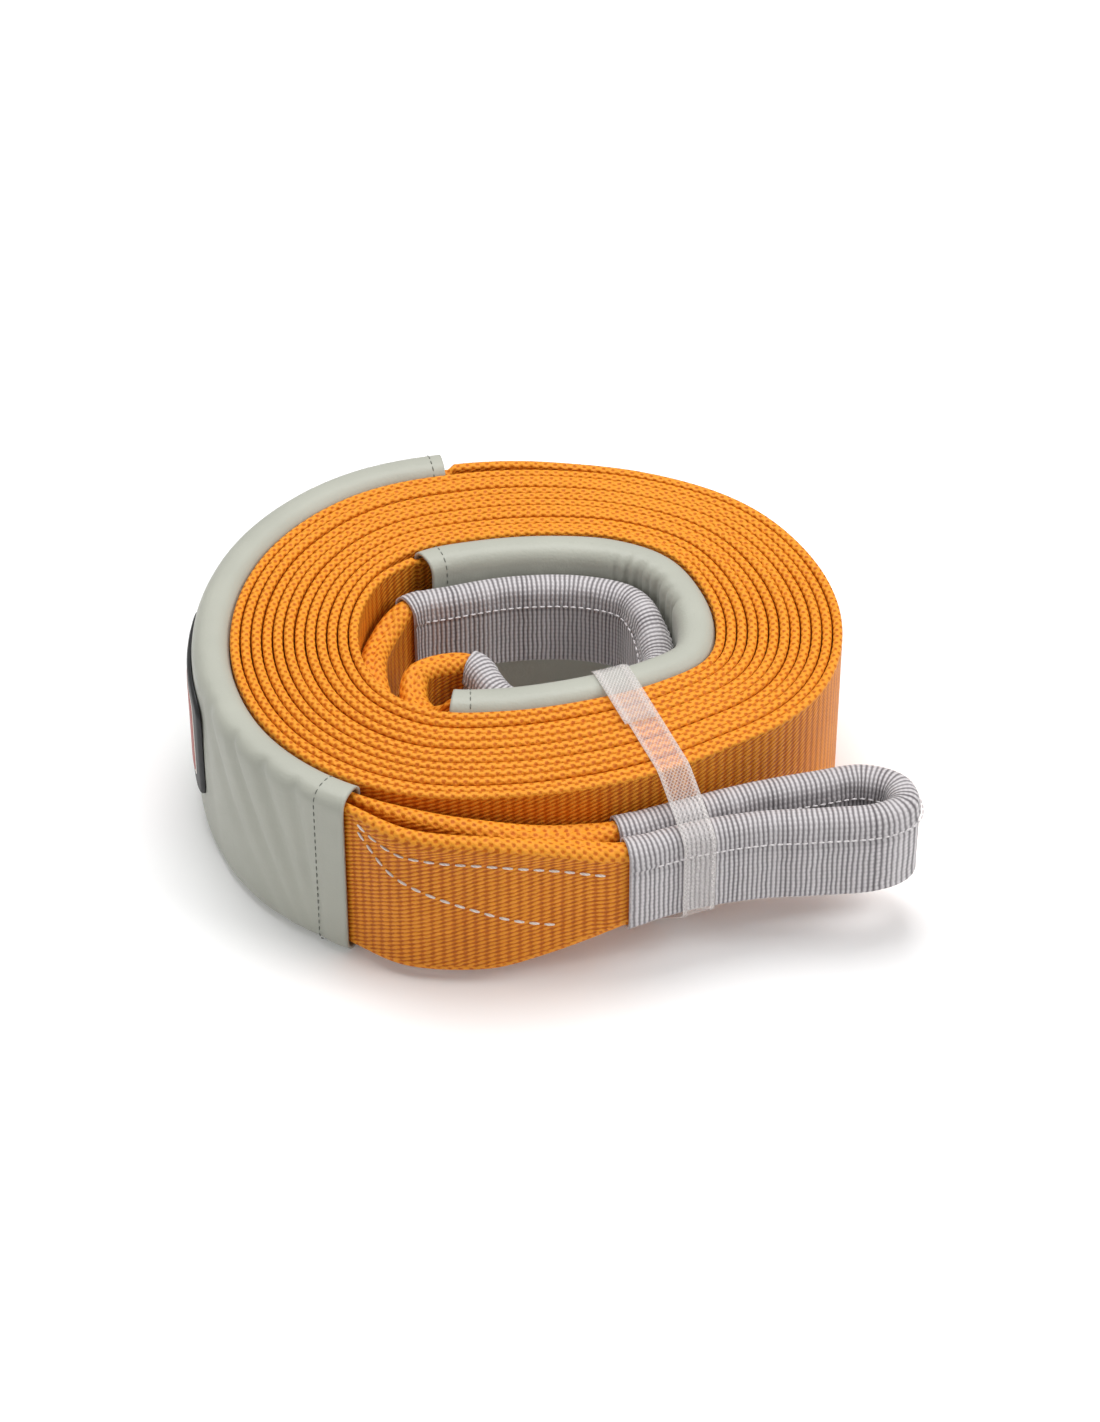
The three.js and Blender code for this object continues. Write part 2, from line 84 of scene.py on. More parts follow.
# Length round the roll's outside over the length round its bore, at the patch
OUTSIDE_SHARE = 1.35
PATCH_TURNS = (0.815, 0.9)
PATCH_HEIGHT = 54.0
PATCH_RISE = 5.0
PATCH_THICK = 2.0
PATCH_CORNER = 9.0
INLAY_THICK = 0.4
INLAY_CORNER = 5.0

BAND_WIDTH = 14.0
BAND_THICK = 0.45
BAND_BEND = 3.1
WELD_THICK = 0.4
WELD_SHIFT = 1.6

# The camera that was fitted to the photograph, in its own pixels, degrees and metres
PHOTO_HEIGHT = 1422
PHOTO_FOCAL = 3960
CAMERA_TILT = 39.5
CAMERA_DISTANCE = 1.714
AIM_HEIGHT = 38.0


def linear(hex_colour):
    """An sRGB hex colour as linear red, green and blue."""
    parts = [int(hex_colour[i:i + 2], 16) / 255 for i in (1, 3, 5)]
    return tuple(c / 12.92 if c <= 0.04045 else ((c + 0.055) / 1.055) ** 2.4 for c in parts)


def length_setting(name, description, metres):
    return FloatProperty(
        name=name, description=description, default=metres, unit="LENGTH", subtype="DISTANCE")


def colour_setting(name, description, hex_colour):
    return FloatVectorProperty(
        name=name, description=description, default=linear(hex_colour),
        size=3, subtype="COLOR", min=0, max=1)


# Sizes and colours that a user would change

class StrapWebbing(bpy.types.PropertyGroup):
    width: length_setting("Width", "Width of the flat webbing", 0.080)
    thickness: length_setting("Thickness", "Thickness of one ply", 0.0041)
    turns: IntProperty(name="Turns", description="Turns in the roll", default=12, min=2)
    slack: length_setting("Slack", "Gap between two loose turns", 0.0005)
    rib: length_setting("Rib spacing", "Spacing of the ribs across the webbing", 0.0044)
    orange: colour_setting("Thread", "Colour of the nylon thread", "#CC6A08")
    # Painted shade for the weave's valleys; the glint below is a painted highlight on the raised threads
    valley: colour_setting("Thread in shade", "Colour of the thread in the valleys of the weave", "#9A4508")
    glint: colour_setting("Thread glint", "Colour of the thread where it catches the light", "#EE9A2C")
    stitch: colour_setting("Stitching", "Colour of the sewing thread", "#F1E6DC")


class StrapSleeves(bpy.types.PropertyGroup):
    vinyl: colour_setting("Vinyl", "Colour of the splice sleeves", "#AFB0A4")
    thread_light: colour_setting("Light thread", "Light thread of the eye sleeves", "#D2CDCF")
    thread_dark: colour_setting("Dark thread", "Dark thread of the eye sleeves", "#4A4347")
    rib: length_setting("Rib spacing", "Spacing of the ribs across an eye sleeve", 0.0021)
    film: colour_setting("Band", "Colour of the tie band's film", "#F6F1EE")


# Curves that the roll and the eyes follow

def smooth_track(points, closed, steps):
    """Points along a smooth curve through the given ones, with a number of steps between each two."""
    points = np.asarray(points, float)
    count = len(points)
    if closed:
        padded = np.vstack([points[-1], points, points[0], points[1]])
        spans = count
    else:
        padded = np.vstack([2 * points[0] - points[1], points, 2 * points[-1] - points[-2]])
        spans = count - 1
    track = []
    weights = np.arange(steps)[:, None] / steps
    for i in range(spans):
        p0, p1, p2, p3 = padded[i:i + 4]
        gaps = [max(np.linalg.norm(b - a) ** 0.5, 1e-4) for a, b in ((p0, p1), (p1, p2), (p2, p3))]
        start = ((p1 - p0) / gaps[0] - (p2 - p0) / (gaps[0] + gaps[1]) + (p2 - p1) / gaps[1]) * gaps[1]
        end = ((p2 - p1) / gaps[1] - (p3 - p1) / (gaps[1] + gaps[2]) + (p3 - p2) / gaps[2]) * gaps[1]
        w = weights
        track.append(
            p1 + start * w + (3 * (p2 - p1) - 2 * start - end) * w ** 2 + (2 * (p1 - p2) + start + end) * w ** 3)
    track = np.vstack(track)
    return np.vstack([track, points[0] if closed else points[-1]])


def reach_along(points):
    """How far along a line each of its points lies."""
    return np.concatenate([[0], np.cumsum(np.linalg.norm(np.diff(points, axis=0), axis=1))])


def points_at(marks, reach, points):
    """Points of a line at the given distances along it."""
    return np.stack([np.interp(marks, reach, column) for column in points.T], axis=-1)


BORE_TRACK = smooth_track(BORE_OUTLINE, True, 120)
BORE_REACH = reach_along(BORE_TRACK)
BORE_LENGTH = BORE_REACH[-1]


def bore_point(turn):
    """Point on the bore outline, a share of a turn along it."""
    return points_at(np.mod(turn, 1.0) * BORE_LENGTH, BORE_REACH, BORE_TRACK)


def bore_station(turn):
    """Point on the bore outline, the webbing's way and the way out of the roll, at each turn value."""
    turn = np.asarray(turn, float)
    along = bore_point(turn + 0.022) - bore_point(turn - 0.022)
    along /= np.linalg.norm(along, axis=-1, keepdims=True)
    return bore_point(turn), along, np.stack([-along[..., 1], along[..., 0]], axis=-1)


def ease(value, start, stop):
    """From 0 at the start to 1 at the stop, slow at both."""
    share = np.clip((np.asarray(value, float) - start) / (stop - start), 0, 1)
    return share * share * (3 - 2 * share)


class Roll:
    """The roll's sizes in millimetres, worked out from the user's settings."""

    def __init__(self, sizes):
        self.width = sizes.width / MM
        self.thick = sizes.thickness / MM
        self.turns = sizes.turns
        self.slack = sizes.slack / MM
        self.lift = SLEEVE_WALL + SPLICE_FIT
        self.middle = self.lift + self.width / 2
        self.top = self.lift + self.width
        self.pack = 3 * self.thick
        self.sleeve_thick = self.pack + 2 * (SPLICE_FIT + SLEEVE_WALL)
        self.sleeve_high = self.width + 2 * (SPLICE_FIT + SLEEVE_WALL)
        self.eye_thick = FOLDED_THICK + 2 * (FIT_GAP + SLEEVE_WALL)
        self.eye_high = self.width / 2 + 2 * (FIT_GAP + SLEEVE_WALL)
        self.stand_off = FIT_GAP + self.sleeve_thick / 2

    def pitch(self, turn):
        slack = np.ones_like(np.asarray(turn, float))
        for middle, reach, tightness in TIGHT_STRETCHES:
            slack = slack - tightness * np.exp(-(((np.mod(turn, 1.0) - middle) / reach) ** 2))
        return self.thick + self.slack * np.maximum(slack, 0)

    def offset(self, turn):
        return self.pitch(turn) * (self.turns - turn)

    def outside(self, turn):
        """From the bore outline to the middle of the outer splice sleeve."""
        return self.offset(np.mod(turn - OUTER_END, 1.0) + OUTER_END) + self.thick + self.stand_off

    def bore_face(self, turn):
        return self.offset(self.turns - 1 + np.mod(turn - INNER_END, 1.0) + INNER_END)

    def inside(self, turn):
        """From the bore outline to the middle of the inner splice sleeve."""
        return self.bore_face(turn) - self.stand_off

    def roll_point(self, turn, out, along=0.0):
        point, way, outward = bore_station(turn)
        return point + outward * np.asarray(self.offset(turn) + self.thick + out)[..., None] + way * along

    def wall_point(self, turn, inward):
        point, _, outward = bore_station(turn)
        return point + outward * np.asarray(self.bore_face(turn) - inward)[..., None]

    def placement(self):
        """Where the middle of the bore lies in the frame, in millimetres, from the solid outer sleeve."""
        turns = 1 + OUTER_SLEEVE[0] - np.arange(13) / STATIONS
        point, _, outward = bore_station(turns)
        face = point + outward * (self.outside(turns) + self.sleeve_thick / 2)[:, None]
        low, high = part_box("outer_splice_sleeve")
        return np.array([low.x / MM - face[:, 0].min(), high.y / MM - face[:, 1].max(), 0.0])


def outer_eye_stops(roll):
    """Stops of the outer eye: plan point, middle, height, thickness and how far it has folded."""
    rise = OUTER_EYE_RISE
    far = LEG_GAP + roll.eye_thick / 2
    near = far + roll.eye_thick + LEG_GAP
    sewn = OUTER_SLEEVE[1] + SEWN_IN
    near_ply = roll.stand_off + PLY_SHARE * roll.thick
    far_ply = roll.stand_off - PLY_SHARE * roll.thick
    loop = [(27, 18), (54, 26), (76, 31.5), (88, 29), (90.5, 17.5), (80, 7), (59.5, 3.5), (31.5, 0.5)]
    rows = [
        (roll.roll_point(sewn, near_ply), 0), (roll.roll_point(OUTER_SLEEVE[1], near_ply), 0),
        (roll.roll_point(0.7, near_ply + 7), 0.04), (roll.roll_point(0.665, near_ply + 9), 0.12),
        (roll.roll_point(0.62, near_ply + 8.5), 0.5), (roll.roll_point(0.575, near), 1),
        (roll.roll_point(BAND_TURN, near), 1),
    ]
    rows += [(roll.roll_point(BAND_TURN, far + out, -ahead), 1) for ahead, out in loop]
    rows += [
        (roll.roll_point(BAND_TURN, far), 1), (roll.roll_point(0.575, far), 1),
        (roll.roll_point(0.62, far + 1), 0.75), (roll.roll_point(0.665, far + 1), 0.3),
        (roll.roll_point(0.7, far_ply + 1), 0.08), (roll.roll_point(OUTER_SLEEVE[1], far_ply), 0),
        (roll.roll_point(sewn, far_ply), 0),
    ]
    return [eye_stop(roll, at, rise * share, share) for at, share in rows]


def inner_eye_stops(roll):
    """Stops of the inner eye, each given as its turn, its way in from the bore's wall, lift and fold."""
    beside = 2 * FIT_GAP + roll.sleeve_thick + 0.5 + LEG_GAP + roll.eye_thick / 2
    wall = LEG_GAP + FOLDED_THICK / 2
    inside = wall + FOLDED_THICK + LEG_GAP
    sewn = INNER_SLEEVE[1] - SEWN_IN
    outer_ply = roll.stand_off - roll.thick
    inner_ply = roll.stand_off + roll.thick
    rise = INNER_EYE_RISE
    front, half = 0.15 * rise, 0.5 * rise
    rows = [
        (sewn, inner_ply, 0, 0), (INNER_SLEEVE[1], inner_ply, 0, 0), (0.715, inner_ply + 3.5, 0, 0.5),
        (0.748, inside + 1, front, 1), (0.79, inside + 2.5, front, 1), (0.83, inside + 7, half, 1),
        (0.85, inside + 17, half, 1), (0.845, inside + 31, half, 1), (0.63, beside + 9, front, 1),
        (0.57, beside, 0, 1), (0.52, beside, 0, 1), (0.47, beside, front, 1), (0.42, beside, half, 1),
        (0.365, beside, half, 1), (0.31, beside, rise, 1), (0.25, beside, rise, 1), (0.17, beside, rise, 1),
        (0.09, beside, rise, 1), (0.02, beside + 1, rise, 1), (0.945, inside, rise, 1),
        (0.9, wall + 2, half, 1), (0.86, wall, half, 1), (0.815, wall, front, 1), (0.77, wall, front, 1),
        (0.725, wall, 0, 0.7), (INNER_SLEEVE[1], outer_ply, 0, 0), (sewn, outer_ply, 0, 0),
    ]
    return [eye_stop(roll, roll.wall_point(turn, inward), lift, share) for turn, inward, lift, share in rows]


def eye_stop(roll, at, lift, share):
    """One stop of an eye, from flat webbing at share 0 to webbing folded to half its width at 1."""
    full = roll.width - SEWN_NARROWER
    return (at[0], at[1], roll.middle + lift, full + share * (roll.width / 2 - full),
            roll.thick + share * (FOLDED_THICK - roll.thick), share)


class EyePath:
    """A fine path through an eye's stops, with its section's size at every point."""

    STEPS = 14

    def __init__(self, stops, first=0.0, last=None):
        stops = np.array(stops)
        last = len(stops) - 1 if last is None else last
        plan = smooth_track(stops[:, :2], False, self.STEPS)
        place = np.arange(len(plan)) / self.STEPS
        keep = (place >= first - 1e-6) & (place <= last + 1e-6)
        shape = points_at(place, np.arange(len(stops)), stops[:, 2:])
        kernel = np.hanning(self.STEPS + 2)[1:-1]
        kernel /= kernel.sum()
        padded = np.pad(shape, ((len(kernel), len(kernel)), (0, 0)), mode="edge")
        shape = np.stack([np.convolve(padded[:, i], kernel, "same") for i in range(4)], axis=-1)
        shape = shape[len(kernel):-len(kernel)]
        way = np.gradient(plan, axis=0)
        way /= np.linalg.norm(way, axis=1, keepdims=True)
        self.place, self.plan = place[keep], plan[keep]
        self.outward = np.stack([-way[:, 1], way[:, 0]], axis=-1)[keep]
        self.middle, self.height, self.thick, self.share = shape[keep].T
        self.reach = reach_along(self.plan)

    def centre(self):
        return np.column_stack([self.plan, self.middle])

    def skin(self, reach, height, out=0.0, side=1):
        """Points on one face of the eye's section, at a reach along it and a height above the floor."""
        plan = points_at(reach, self.reach, self.plan)
        outward = points_at(reach, self.reach, self.outward)
        across = side * (np.interp(reach, self.reach, self.thick) / 2 + out)
        return np.column_stack([plan + outward * across[:, None], height * np.ones(len(plan))])


# Rings and meshes

def rounded_rings(half_thick, half_high, radius, corner_steps, face_levels):
    """Rings of [across, up], from the lower right corner anticlockwise, one for each station, and which
    of their points lie on the two ends. face_levels are shares of the straight face."""
    half_thick, half_high, radius = np.broadcast_arrays(
        *[np.atleast_1d(np.asarray(v, float)) for v in (half_thick, half_high, radius)])
    radius = np.minimum(radius, np.minimum(half_thick, half_high) - 0.01)
    angles = np.linspace(0, math.pi / 2, corner_steps + 1)
    across, up, end = [], [], []
    for angle in angles - math.pi / 2:
        across.append(half_thick - radius + radius * math.cos(angle))
        up.append(-half_high + radius + radius * math.sin(angle))
        end.append(1.0)
    for level in face_levels:
        across.append(half_thick)
        up.append((2 * level - 1) * (half_high - radius))
        end.append(0.0)
    for angle in angles:
        across.append(half_thick - radius + radius * math.cos(angle))
        up.append(half_high - radius + radius * math.sin(angle))
        end.append(1.0)
    across = across + [-a for a in reversed(across)]
    up = up + list(reversed(up))
    end = end + list(reversed(end))
    return np.stack([np.stack(across, axis=-1), np.stack(up, axis=-1)], axis=-1), np.array(end)


def put_mesh(name, points, faces, material, weave=None, end=None):
    """A mesh object in the frame from points in millimetres about the middle of the bore."""
    mesh = bpy.data.meshes.new(name)
    moved = (np.asarray(points, float) + ROLL_PLACE) * MM
    mesh.from_pydata(moved.tolist(), [], [list(face) for face in faces])
    if weave is not None:
        layer = mesh.uv_layers.new(name="weave")
        layer.data.foreach_set("uv", np.asarray(weave, float).ravel())
    if end is not None:
        mesh.attributes.new("end", "FLOAT", "POINT").data.foreach_set("value", np.asarray(end, float).ravel())
    mesh.validate()
    mesh.update()
    mesh.polygons.foreach_set("use_smooth", [True] * len(mesh.polygons))
    mesh.materials.append(material)
    piece = bpy.data.objects.new(name, mesh)
    bpy.context.scene.collection.objects.link(piece)
    return piece


def place_rings(centre, outward, rings):
    """Rings of [across, up] as points in space, one ring at each place of a path."""
    plan = centre[:, None, :2] + outward[:, None, :] * rings[..., :1]
    return np.concatenate([plan, centre[:, None, 2:] + rings[..., 1:]], axis=-1)


def ring_faces(stations, count, start=0, inward=False):
    """Faces between each ring and the next."""
    faces = []
    for i in range(stations - 1):
        here, there = start + i * count, start + (i + 1) * count
        for j in range(count):
            k = (j + 1) % count
            face = (here + j, here + k, there + k, there + j)
            faces.append(face[::-1] if inward else face)
    return faces


def weave_coordinates(placed, rings, inward=False):
    """For each corner of each ring face: millimetres along the piece and round its section from the top."""
    stations, count = rings.shape[:2]
    along = reach_along(placed.mean(axis=1))
    around = np.linalg.norm(np.diff(np.concatenate([rings, rings[:, :1]], axis=1), axis=1), axis=-1)
    around = np.concatenate([np.zeros((stations, 1)), np.cumsum(around, axis=1)], axis=1)
    around -= (around[:, count // 2 - 1] + around[:, count // 2])[:, None] / 2
    out = []
    for i in range(stations - 1):
        for j in range(count):
            corners = [(along[i], around[i, j]), (along[i], around[i, j + 1]),
                       (along[i + 1], around[i + 1, j + 1]), (along[i + 1], around[i + 1, j])]
            out.extend(corners[::-1] if inward else corners)
    return out


def swept_bar(name, centre, outward, rings, end, material):
    """A closed bar swept through rings, capped at both ends."""
    placed = place_rings(centre, outward, rings)
    stations, count = rings.shape[:2]
    faces = ring_faces(stations, count)
    weave = weave_coordinates(placed, rings)
    for cap, station in ((range(count), 0), (range(count), stations - 1)):
        ring = [station * count + j for j in cap]
        faces.append(ring[::-1] if station == 0 else ring)
        row = [(0.0, float(rings[station, j, 0])) for j in cap]
        weave.extend(row[::-1] if station == 0 else row)
    ends = np.tile(end, stations) if np.ndim(end) == 1 else end
    return put_mesh(name, placed.reshape(-1, 3), outward_faces(placed, faces), material, weave, ends)


def swept_sleeve(name, centre, outward, outer, inner, end, material):
    """A sleeve open at both ends, with an outer and an inner skin."""
    placed_out = place_rings(centre, outward, outer)
    placed_in = place_rings(centre, outward, inner)
    stations, count = outer.shape[:2]
    half = stations * count
    faces = ring_faces(stations, count) + ring_faces(stations, count, half, True)
    weave = weave_coordinates(placed_out, outer) + weave_coordinates(placed_in, inner, True)
    for station in (0, stations - 1):
        base = station * count
        for j in range(count):
            k = (j + 1) % count
            face = (base + k, base + j, half + base + j, half + base + k)
            faces.append(face if station == 0 else face[::-1])
            weave.extend([(0.0, 0.0)] * 4)
    points = np.concatenate([placed_out.reshape(-1, 3), placed_in.reshape(-1, 3)])
    return put_mesh(
        name, points, outward_faces(placed_out, faces), material, weave, np.tile(end, 2 * stations))


def outward_faces(placed, faces):
    """The faces as they are, or turned over where the rings run the other way round."""
    first = placed[0]
    around = np.cross(first - first.mean(axis=0), np.roll(first, -1, axis=0) - first.mean(axis=0)).sum(axis=0)
    forward = placed[1].mean(axis=0) - first.mean(axis=0)
    if np.dot(around, forward) > 0:
        return faces
    return [face[::-1] for face in faces]


def stitch_row(name, path, material, length=3.4, gap=2.4, radius=0.45):
    """A row of stitches laid along a path of points in millimetres."""
    path = np.asarray(path, float)
    reach = reach_along(path)
    points, faces = [], []
    sides, steps = 6, 5
    start = 0.5 * gap
    while start + length < reach[-1]:
        marks = start + length * np.arange(steps) / (steps - 1)
        core = points_at(marks, reach, path)
        way = core[-1] - core[0]
        way /= np.linalg.norm(way)
        side = np.cross(way, [0.0, 0.0, 1.0])
        if np.linalg.norm(side) < 0.2:
            side = np.cross(way, [0.0, 1.0, 0.0])
        side /= np.linalg.norm(side)
        lift = np.cross(side, way)
        base = len(points)
        for step in range(steps):
            swell = radius * (0.35 + 0.65 * math.sin(math.pi * (step + 0.5) / steps))
            for corner in range(sides):
                turn = 2 * math.pi * corner / sides
                points.append(core[step] + swell * (math.cos(turn) * side + math.sin(turn) * lift))
        for step in range(steps - 1):
            for corner in range(sides):
                after = (corner + 1) % sides
                here, there = base + step * sides, base + (step + 1) * sides
                faces.append((here + corner, here + after, there + after, there + corner))
        faces.append(tuple(base + c for c in range(sides))[::-1])
        faces.append(tuple(base + (steps - 1) * sides + c for c in range(sides)))
        start += length + gap
    return put_mesh(name, points, faces, material)


def finish_piece(piece, slot, *nodes):
    """Lets the piece ride on the strap's one body and hides the solids it stands for. The slot argument is not
    used.
    """
    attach(piece, "root")
    if nodes:
        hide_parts(*nodes)
    return piece


# Materials

def add_node(tree, kind, settings=None, inputs=None):
    """Adds a node, sets its values and links its inputs. An input is a value or a node's output."""
    made = tree.nodes.new(kind)
    for name, value in (settings or {}).items():
        setattr(made, name, value)
    for socket, value in (inputs or {}).items():
        if isinstance(value, bpy.types.NodeSocket):
            tree.links.new(value, made.inputs[socket])
        else:
            made.inputs[socket].default_value = value
    return made


def new_material(name):
    material = bpy.data.materials.get(name)
    if material:
        return material, None
    material = bpy.data.materials.new(name)
    material.use_nodes = True
    material.node_tree.nodes.clear()
    return material, material.node_tree


def close_material(tree, shader):
    add_node(tree, "ShaderNodeOutputMaterial", {}, {"Surface": shader.outputs[0]})


def shade(colour, factor):
    return tuple(min(c * factor, 1.0) for c in colour[:3]) + (1.0,)


def band_scale(pitch):
    """Scale of a wave texture whose bands lie a pitch apart."""
    return 2 * math.pi / (20 * pitch)


def nylon_webbing(sizes):
    """Woven nylon: ribs across the webbing with stacked slanting threads, and knitted-looking loops on
    its edges. The threads are glossy filaments; a highlight along each rib and shade in the valleys are painted
    into its colour."""
    material, tree = new_material("woven_nylon_webbing")
    if tree is None:
        return material
    rib = sizes.rib / MM
    thread = 2.0
    weave = add_node(tree, "ShaderNodeUVMap", {"uv_map": "weave"}).outputs["UV"]
    ends = add_node(tree, "ShaderNodeAttribute", {"attribute_name": "end"}).outputs["Fac"]
    wander = add_node(tree, "ShaderNodeTexNoise", {}, {"Vector": weave, "Scale": 0.18, "Detail": 2.0})
    shake = add_node(tree, "ShaderNodeVectorMath", {"operation": "MULTIPLY_ADD"},
                     {0: wander.outputs["Color"], 1: (0.9, 0.9, 0.0), 2: weave})
    ribs = add_node(tree, "ShaderNodeTexWave", {"bands_direction": "X"},
                    {"Vector": shake.outputs[0], "Scale": band_scale(rib), "Distortion": 0.0})
    slant = add_node(tree, "ShaderNodeMapping", {}, {"Vector": shake.outputs[0], "Rotation": (0, 0, 0.42)})
    threads = add_node(tree, "ShaderNodeTexWave", {"bands_direction": "Y"},
                       {"Vector": slant.outputs[0], "Scale": band_scale(thread), "Distortion": 1.2,
                        "Detail": 1.0, "Detail Scale": 0.6})
    rows = add_node(tree, "ShaderNodeTexWave", {"bands_direction": "Y"},
                    {"Vector": shake.outputs[0], "Scale": band_scale(2 * sizes.thickness / MM / 2),
                     "Phase Offset": math.pi / 2})
    rib_top = add_node(tree, "ShaderNodeMapRange", {}, {"Value": ribs.outputs["Fac"], "To Min": 0.55})
    thread_part = add_node(tree, "ShaderNodeMapRange", {}, {"Value": threads.outputs["Fac"], "To Min": 0.45})
    face = add_node(tree, "ShaderNodeMath", {"operation": "MULTIPLY"},
                    {0: rib_top.outputs[0], 1: thread_part.outputs[0]})
    rib_signed = add_node(tree, "ShaderNodeMath", {"operation": "SUBTRACT"}, {0: ribs.outputs["Fac"], 1: 0.5})
    row_signed = add_node(tree, "ShaderNodeMath", {"operation": "SUBTRACT"}, {0: rows.outputs["Fac"], 1: 0.5})
    loops = add_node(tree, "ShaderNodeMath", {"operation": "MULTIPLY"},
                     {0: rib_signed.outputs[0], 1: row_signed.outputs[0]})
    loop_height = add_node(tree, "ShaderNodeMath", {"operation": "MULTIPLY_ADD"},
                           {0: loops.outputs[0], 1: 1.3, 2: 0.68})
    height = add_node(tree, "ShaderNodeMix", {"data_type": "FLOAT"},
                      {0: ends, 2: face.outputs[0], 3: loop_height.outputs[0]})
    strands = add_node(tree, "ShaderNodeTexNoise", {},
                       {"Vector": shake.outputs[0], "Scale": 1.1, "Detail": 2.0, "Roughness": 0.6})
    rough_height = add_node(tree, "ShaderNodeMath", {"operation": "MULTIPLY_ADD"},
                            {0: strands.outputs["Fac"], 1: 0.45, 2: height.outputs[0]})
    patches = add_node(tree, "ShaderNodeTexNoise", {}, {"Vector": weave, "Scale": 0.03, "Detail": 1.0})
    tone = add_node(tree, "ShaderNodeMath", {"operation": "MULTIPLY_ADD"},
                    {0: patches.outputs["Fac"], 1: 0.2, 2: rough_height.outputs[0]})
    # The colour ramp follows the bump height: painted shade in the low parts and a painted highlight on the high
    # parts, mixed with slow random tone
    ramp = add_node(tree, "ShaderNodeValToRGB", {}, {"Fac": tone.outputs[0]})
    stops = ramp.color_ramp.elements
    stops[0].position, stops[0].color = 0.42, shade(sizes.valley, 1.0)
    stops[1].position, stops[1].color = 0.8, shade(sizes.orange, 1.0)
    # Painted highlight at the top of the ramp
    tip = stops.new(1.0)
    tip.color = shade(sizes.glint, 1.0)
    bump = add_node(tree, "ShaderNodeBump", {}, {"Height": rough_height.outputs[0], "Distance": 0.8 * MM})
    close_material(tree, add_node(tree, "ShaderNodeBsdfPrincipled", {}, {
        "Base Color": ramp.outputs["Color"], "Roughness": 0.5, "Normal": bump.outputs["Normal"],
        "Specular IOR Level": 0.22}))
    return material


def ribbed_tube(sizes):
    """Woven polyester tube: light weft beads on dark warp in fine ribs, so it looks striped and soft."""
    material, tree = new_material("woven_polyester_sleeve")
    if tree is None:
        return material
    bead = 2.1
    weave = add_node(tree, "ShaderNodeUVMap", {"uv_map": "weave"}).outputs["UV"]
    wander = add_node(tree, "ShaderNodeTexNoise", {}, {"Vector": weave, "Scale": 0.12, "Detail": 2.0})
    shake = add_node(tree, "ShaderNodeVectorMath", {"operation": "MULTIPLY_ADD"},
                     {0: wander.outputs["Color"], 1: (1.0, 1.0, 0.0), 2: weave})
    ribs = add_node(tree, "ShaderNodeTexWave", {"bands_direction": "X"},
                    {"Vector": shake.outputs[0], "Scale": band_scale(sizes.rib / MM)})
    beads = add_node(tree, "ShaderNodeTexWave", {"bands_direction": "Y"},
                     {"Vector": shake.outputs[0], "Scale": band_scale(bead), "Distortion": 0.5})
    bead_part = add_node(tree, "ShaderNodeMapRange", {}, {"Value": beads.outputs["Fac"], "To Min": 0.62})
    height = add_node(tree, "ShaderNodeMath", {"operation": "MULTIPLY"},
                      {0: ribs.outputs["Fac"], 1: bead_part.outputs[0]})
    stripes = add_node(tree, "ShaderNodeTexNoise", {"noise_dimensions": "1D"},
                       {"W": add_node(tree, "ShaderNodeSeparateXYZ", {}, {0: weave}).outputs[0],
                        "Scale": 0.12, "Detail": 2.0})
    tone = add_node(tree, "ShaderNodeMath", {"operation": "MULTIPLY_ADD"},
                    {0: stripes.outputs["Fac"], 1: 0.35, 2: height.outputs[0]})
    ramp = add_node(tree, "ShaderNodeValToRGB", {}, {"Fac": tone.outputs[0]})
    stops = ramp.color_ramp.elements
    stops[0].position, stops[0].color = 0.05, shade(sizes.thread_dark, 1.0)
    stops[1].position, stops[1].color = 0.85, shade(sizes.thread_light, 1.0)
    bump = add_node(tree, "ShaderNodeBump", {}, {"Height": height.outputs[0], "Distance": 0.45 * MM})
    close_material(tree, add_node(tree, "ShaderNodeBsdfPrincipled", {}, {
        "Base Color": ramp.outputs["Color"], "Roughness": 0.6, "Normal": bump.outputs["Normal"],
        "Sheen Weight": 0.3}))
    return material


def coated_vinyl(sizes):
    """Soft PVC-coated cloth: a satin skin with a fine leathery grain and slightly uneven tone."""
    material, tree = new_material("coated_vinyl_cloth")
    if tree is None:
        return material
    weave = add_node(tree, "ShaderNodeUVMap", {"uv_map": "weave"}).outputs["UV"]
    grain = add_node(tree, "ShaderNodeTexVoronoi", {"feature": "SMOOTH_F1"}, {"Vector": weave, "Scale": 1.1})
    soft = add_node(tree, "ShaderNodeTexNoise", {}, {"Vector": weave, "Scale": 0.07, "Detail": 4.0})
    patches = add_node(tree, "ShaderNodeTexNoise", {}, {"Vector": weave, "Scale": 0.025, "Detail": 2.0})
    height = add_node(tree, "ShaderNodeMath", {"operation": "MULTIPLY_ADD"},
                      {0: soft.outputs["Fac"], 1: 9.0, 2: grain.outputs["Distance"]})
    colour = add_node(tree, "ShaderNodeMix", {"data_type": "RGBA"}, {
        0: patches.outputs["Fac"], 6: shade(sizes.vinyl, 0.88), 7: shade(sizes.vinyl, 1.1)})
    bump = add_node(tree, "ShaderNodeBump", {}, {
        "Height": height.outputs[0], "Distance": 0.09 * MM, "Strength": 0.8})
    close_material(tree, add_node(tree, "ShaderNodeBsdfPrincipled", {}, {
        "Base Color": colour.outputs[2], "Roughness": 0.52, "Normal": bump.outputs["Normal"],
        "Sheen Weight": 0.12}))
    return material


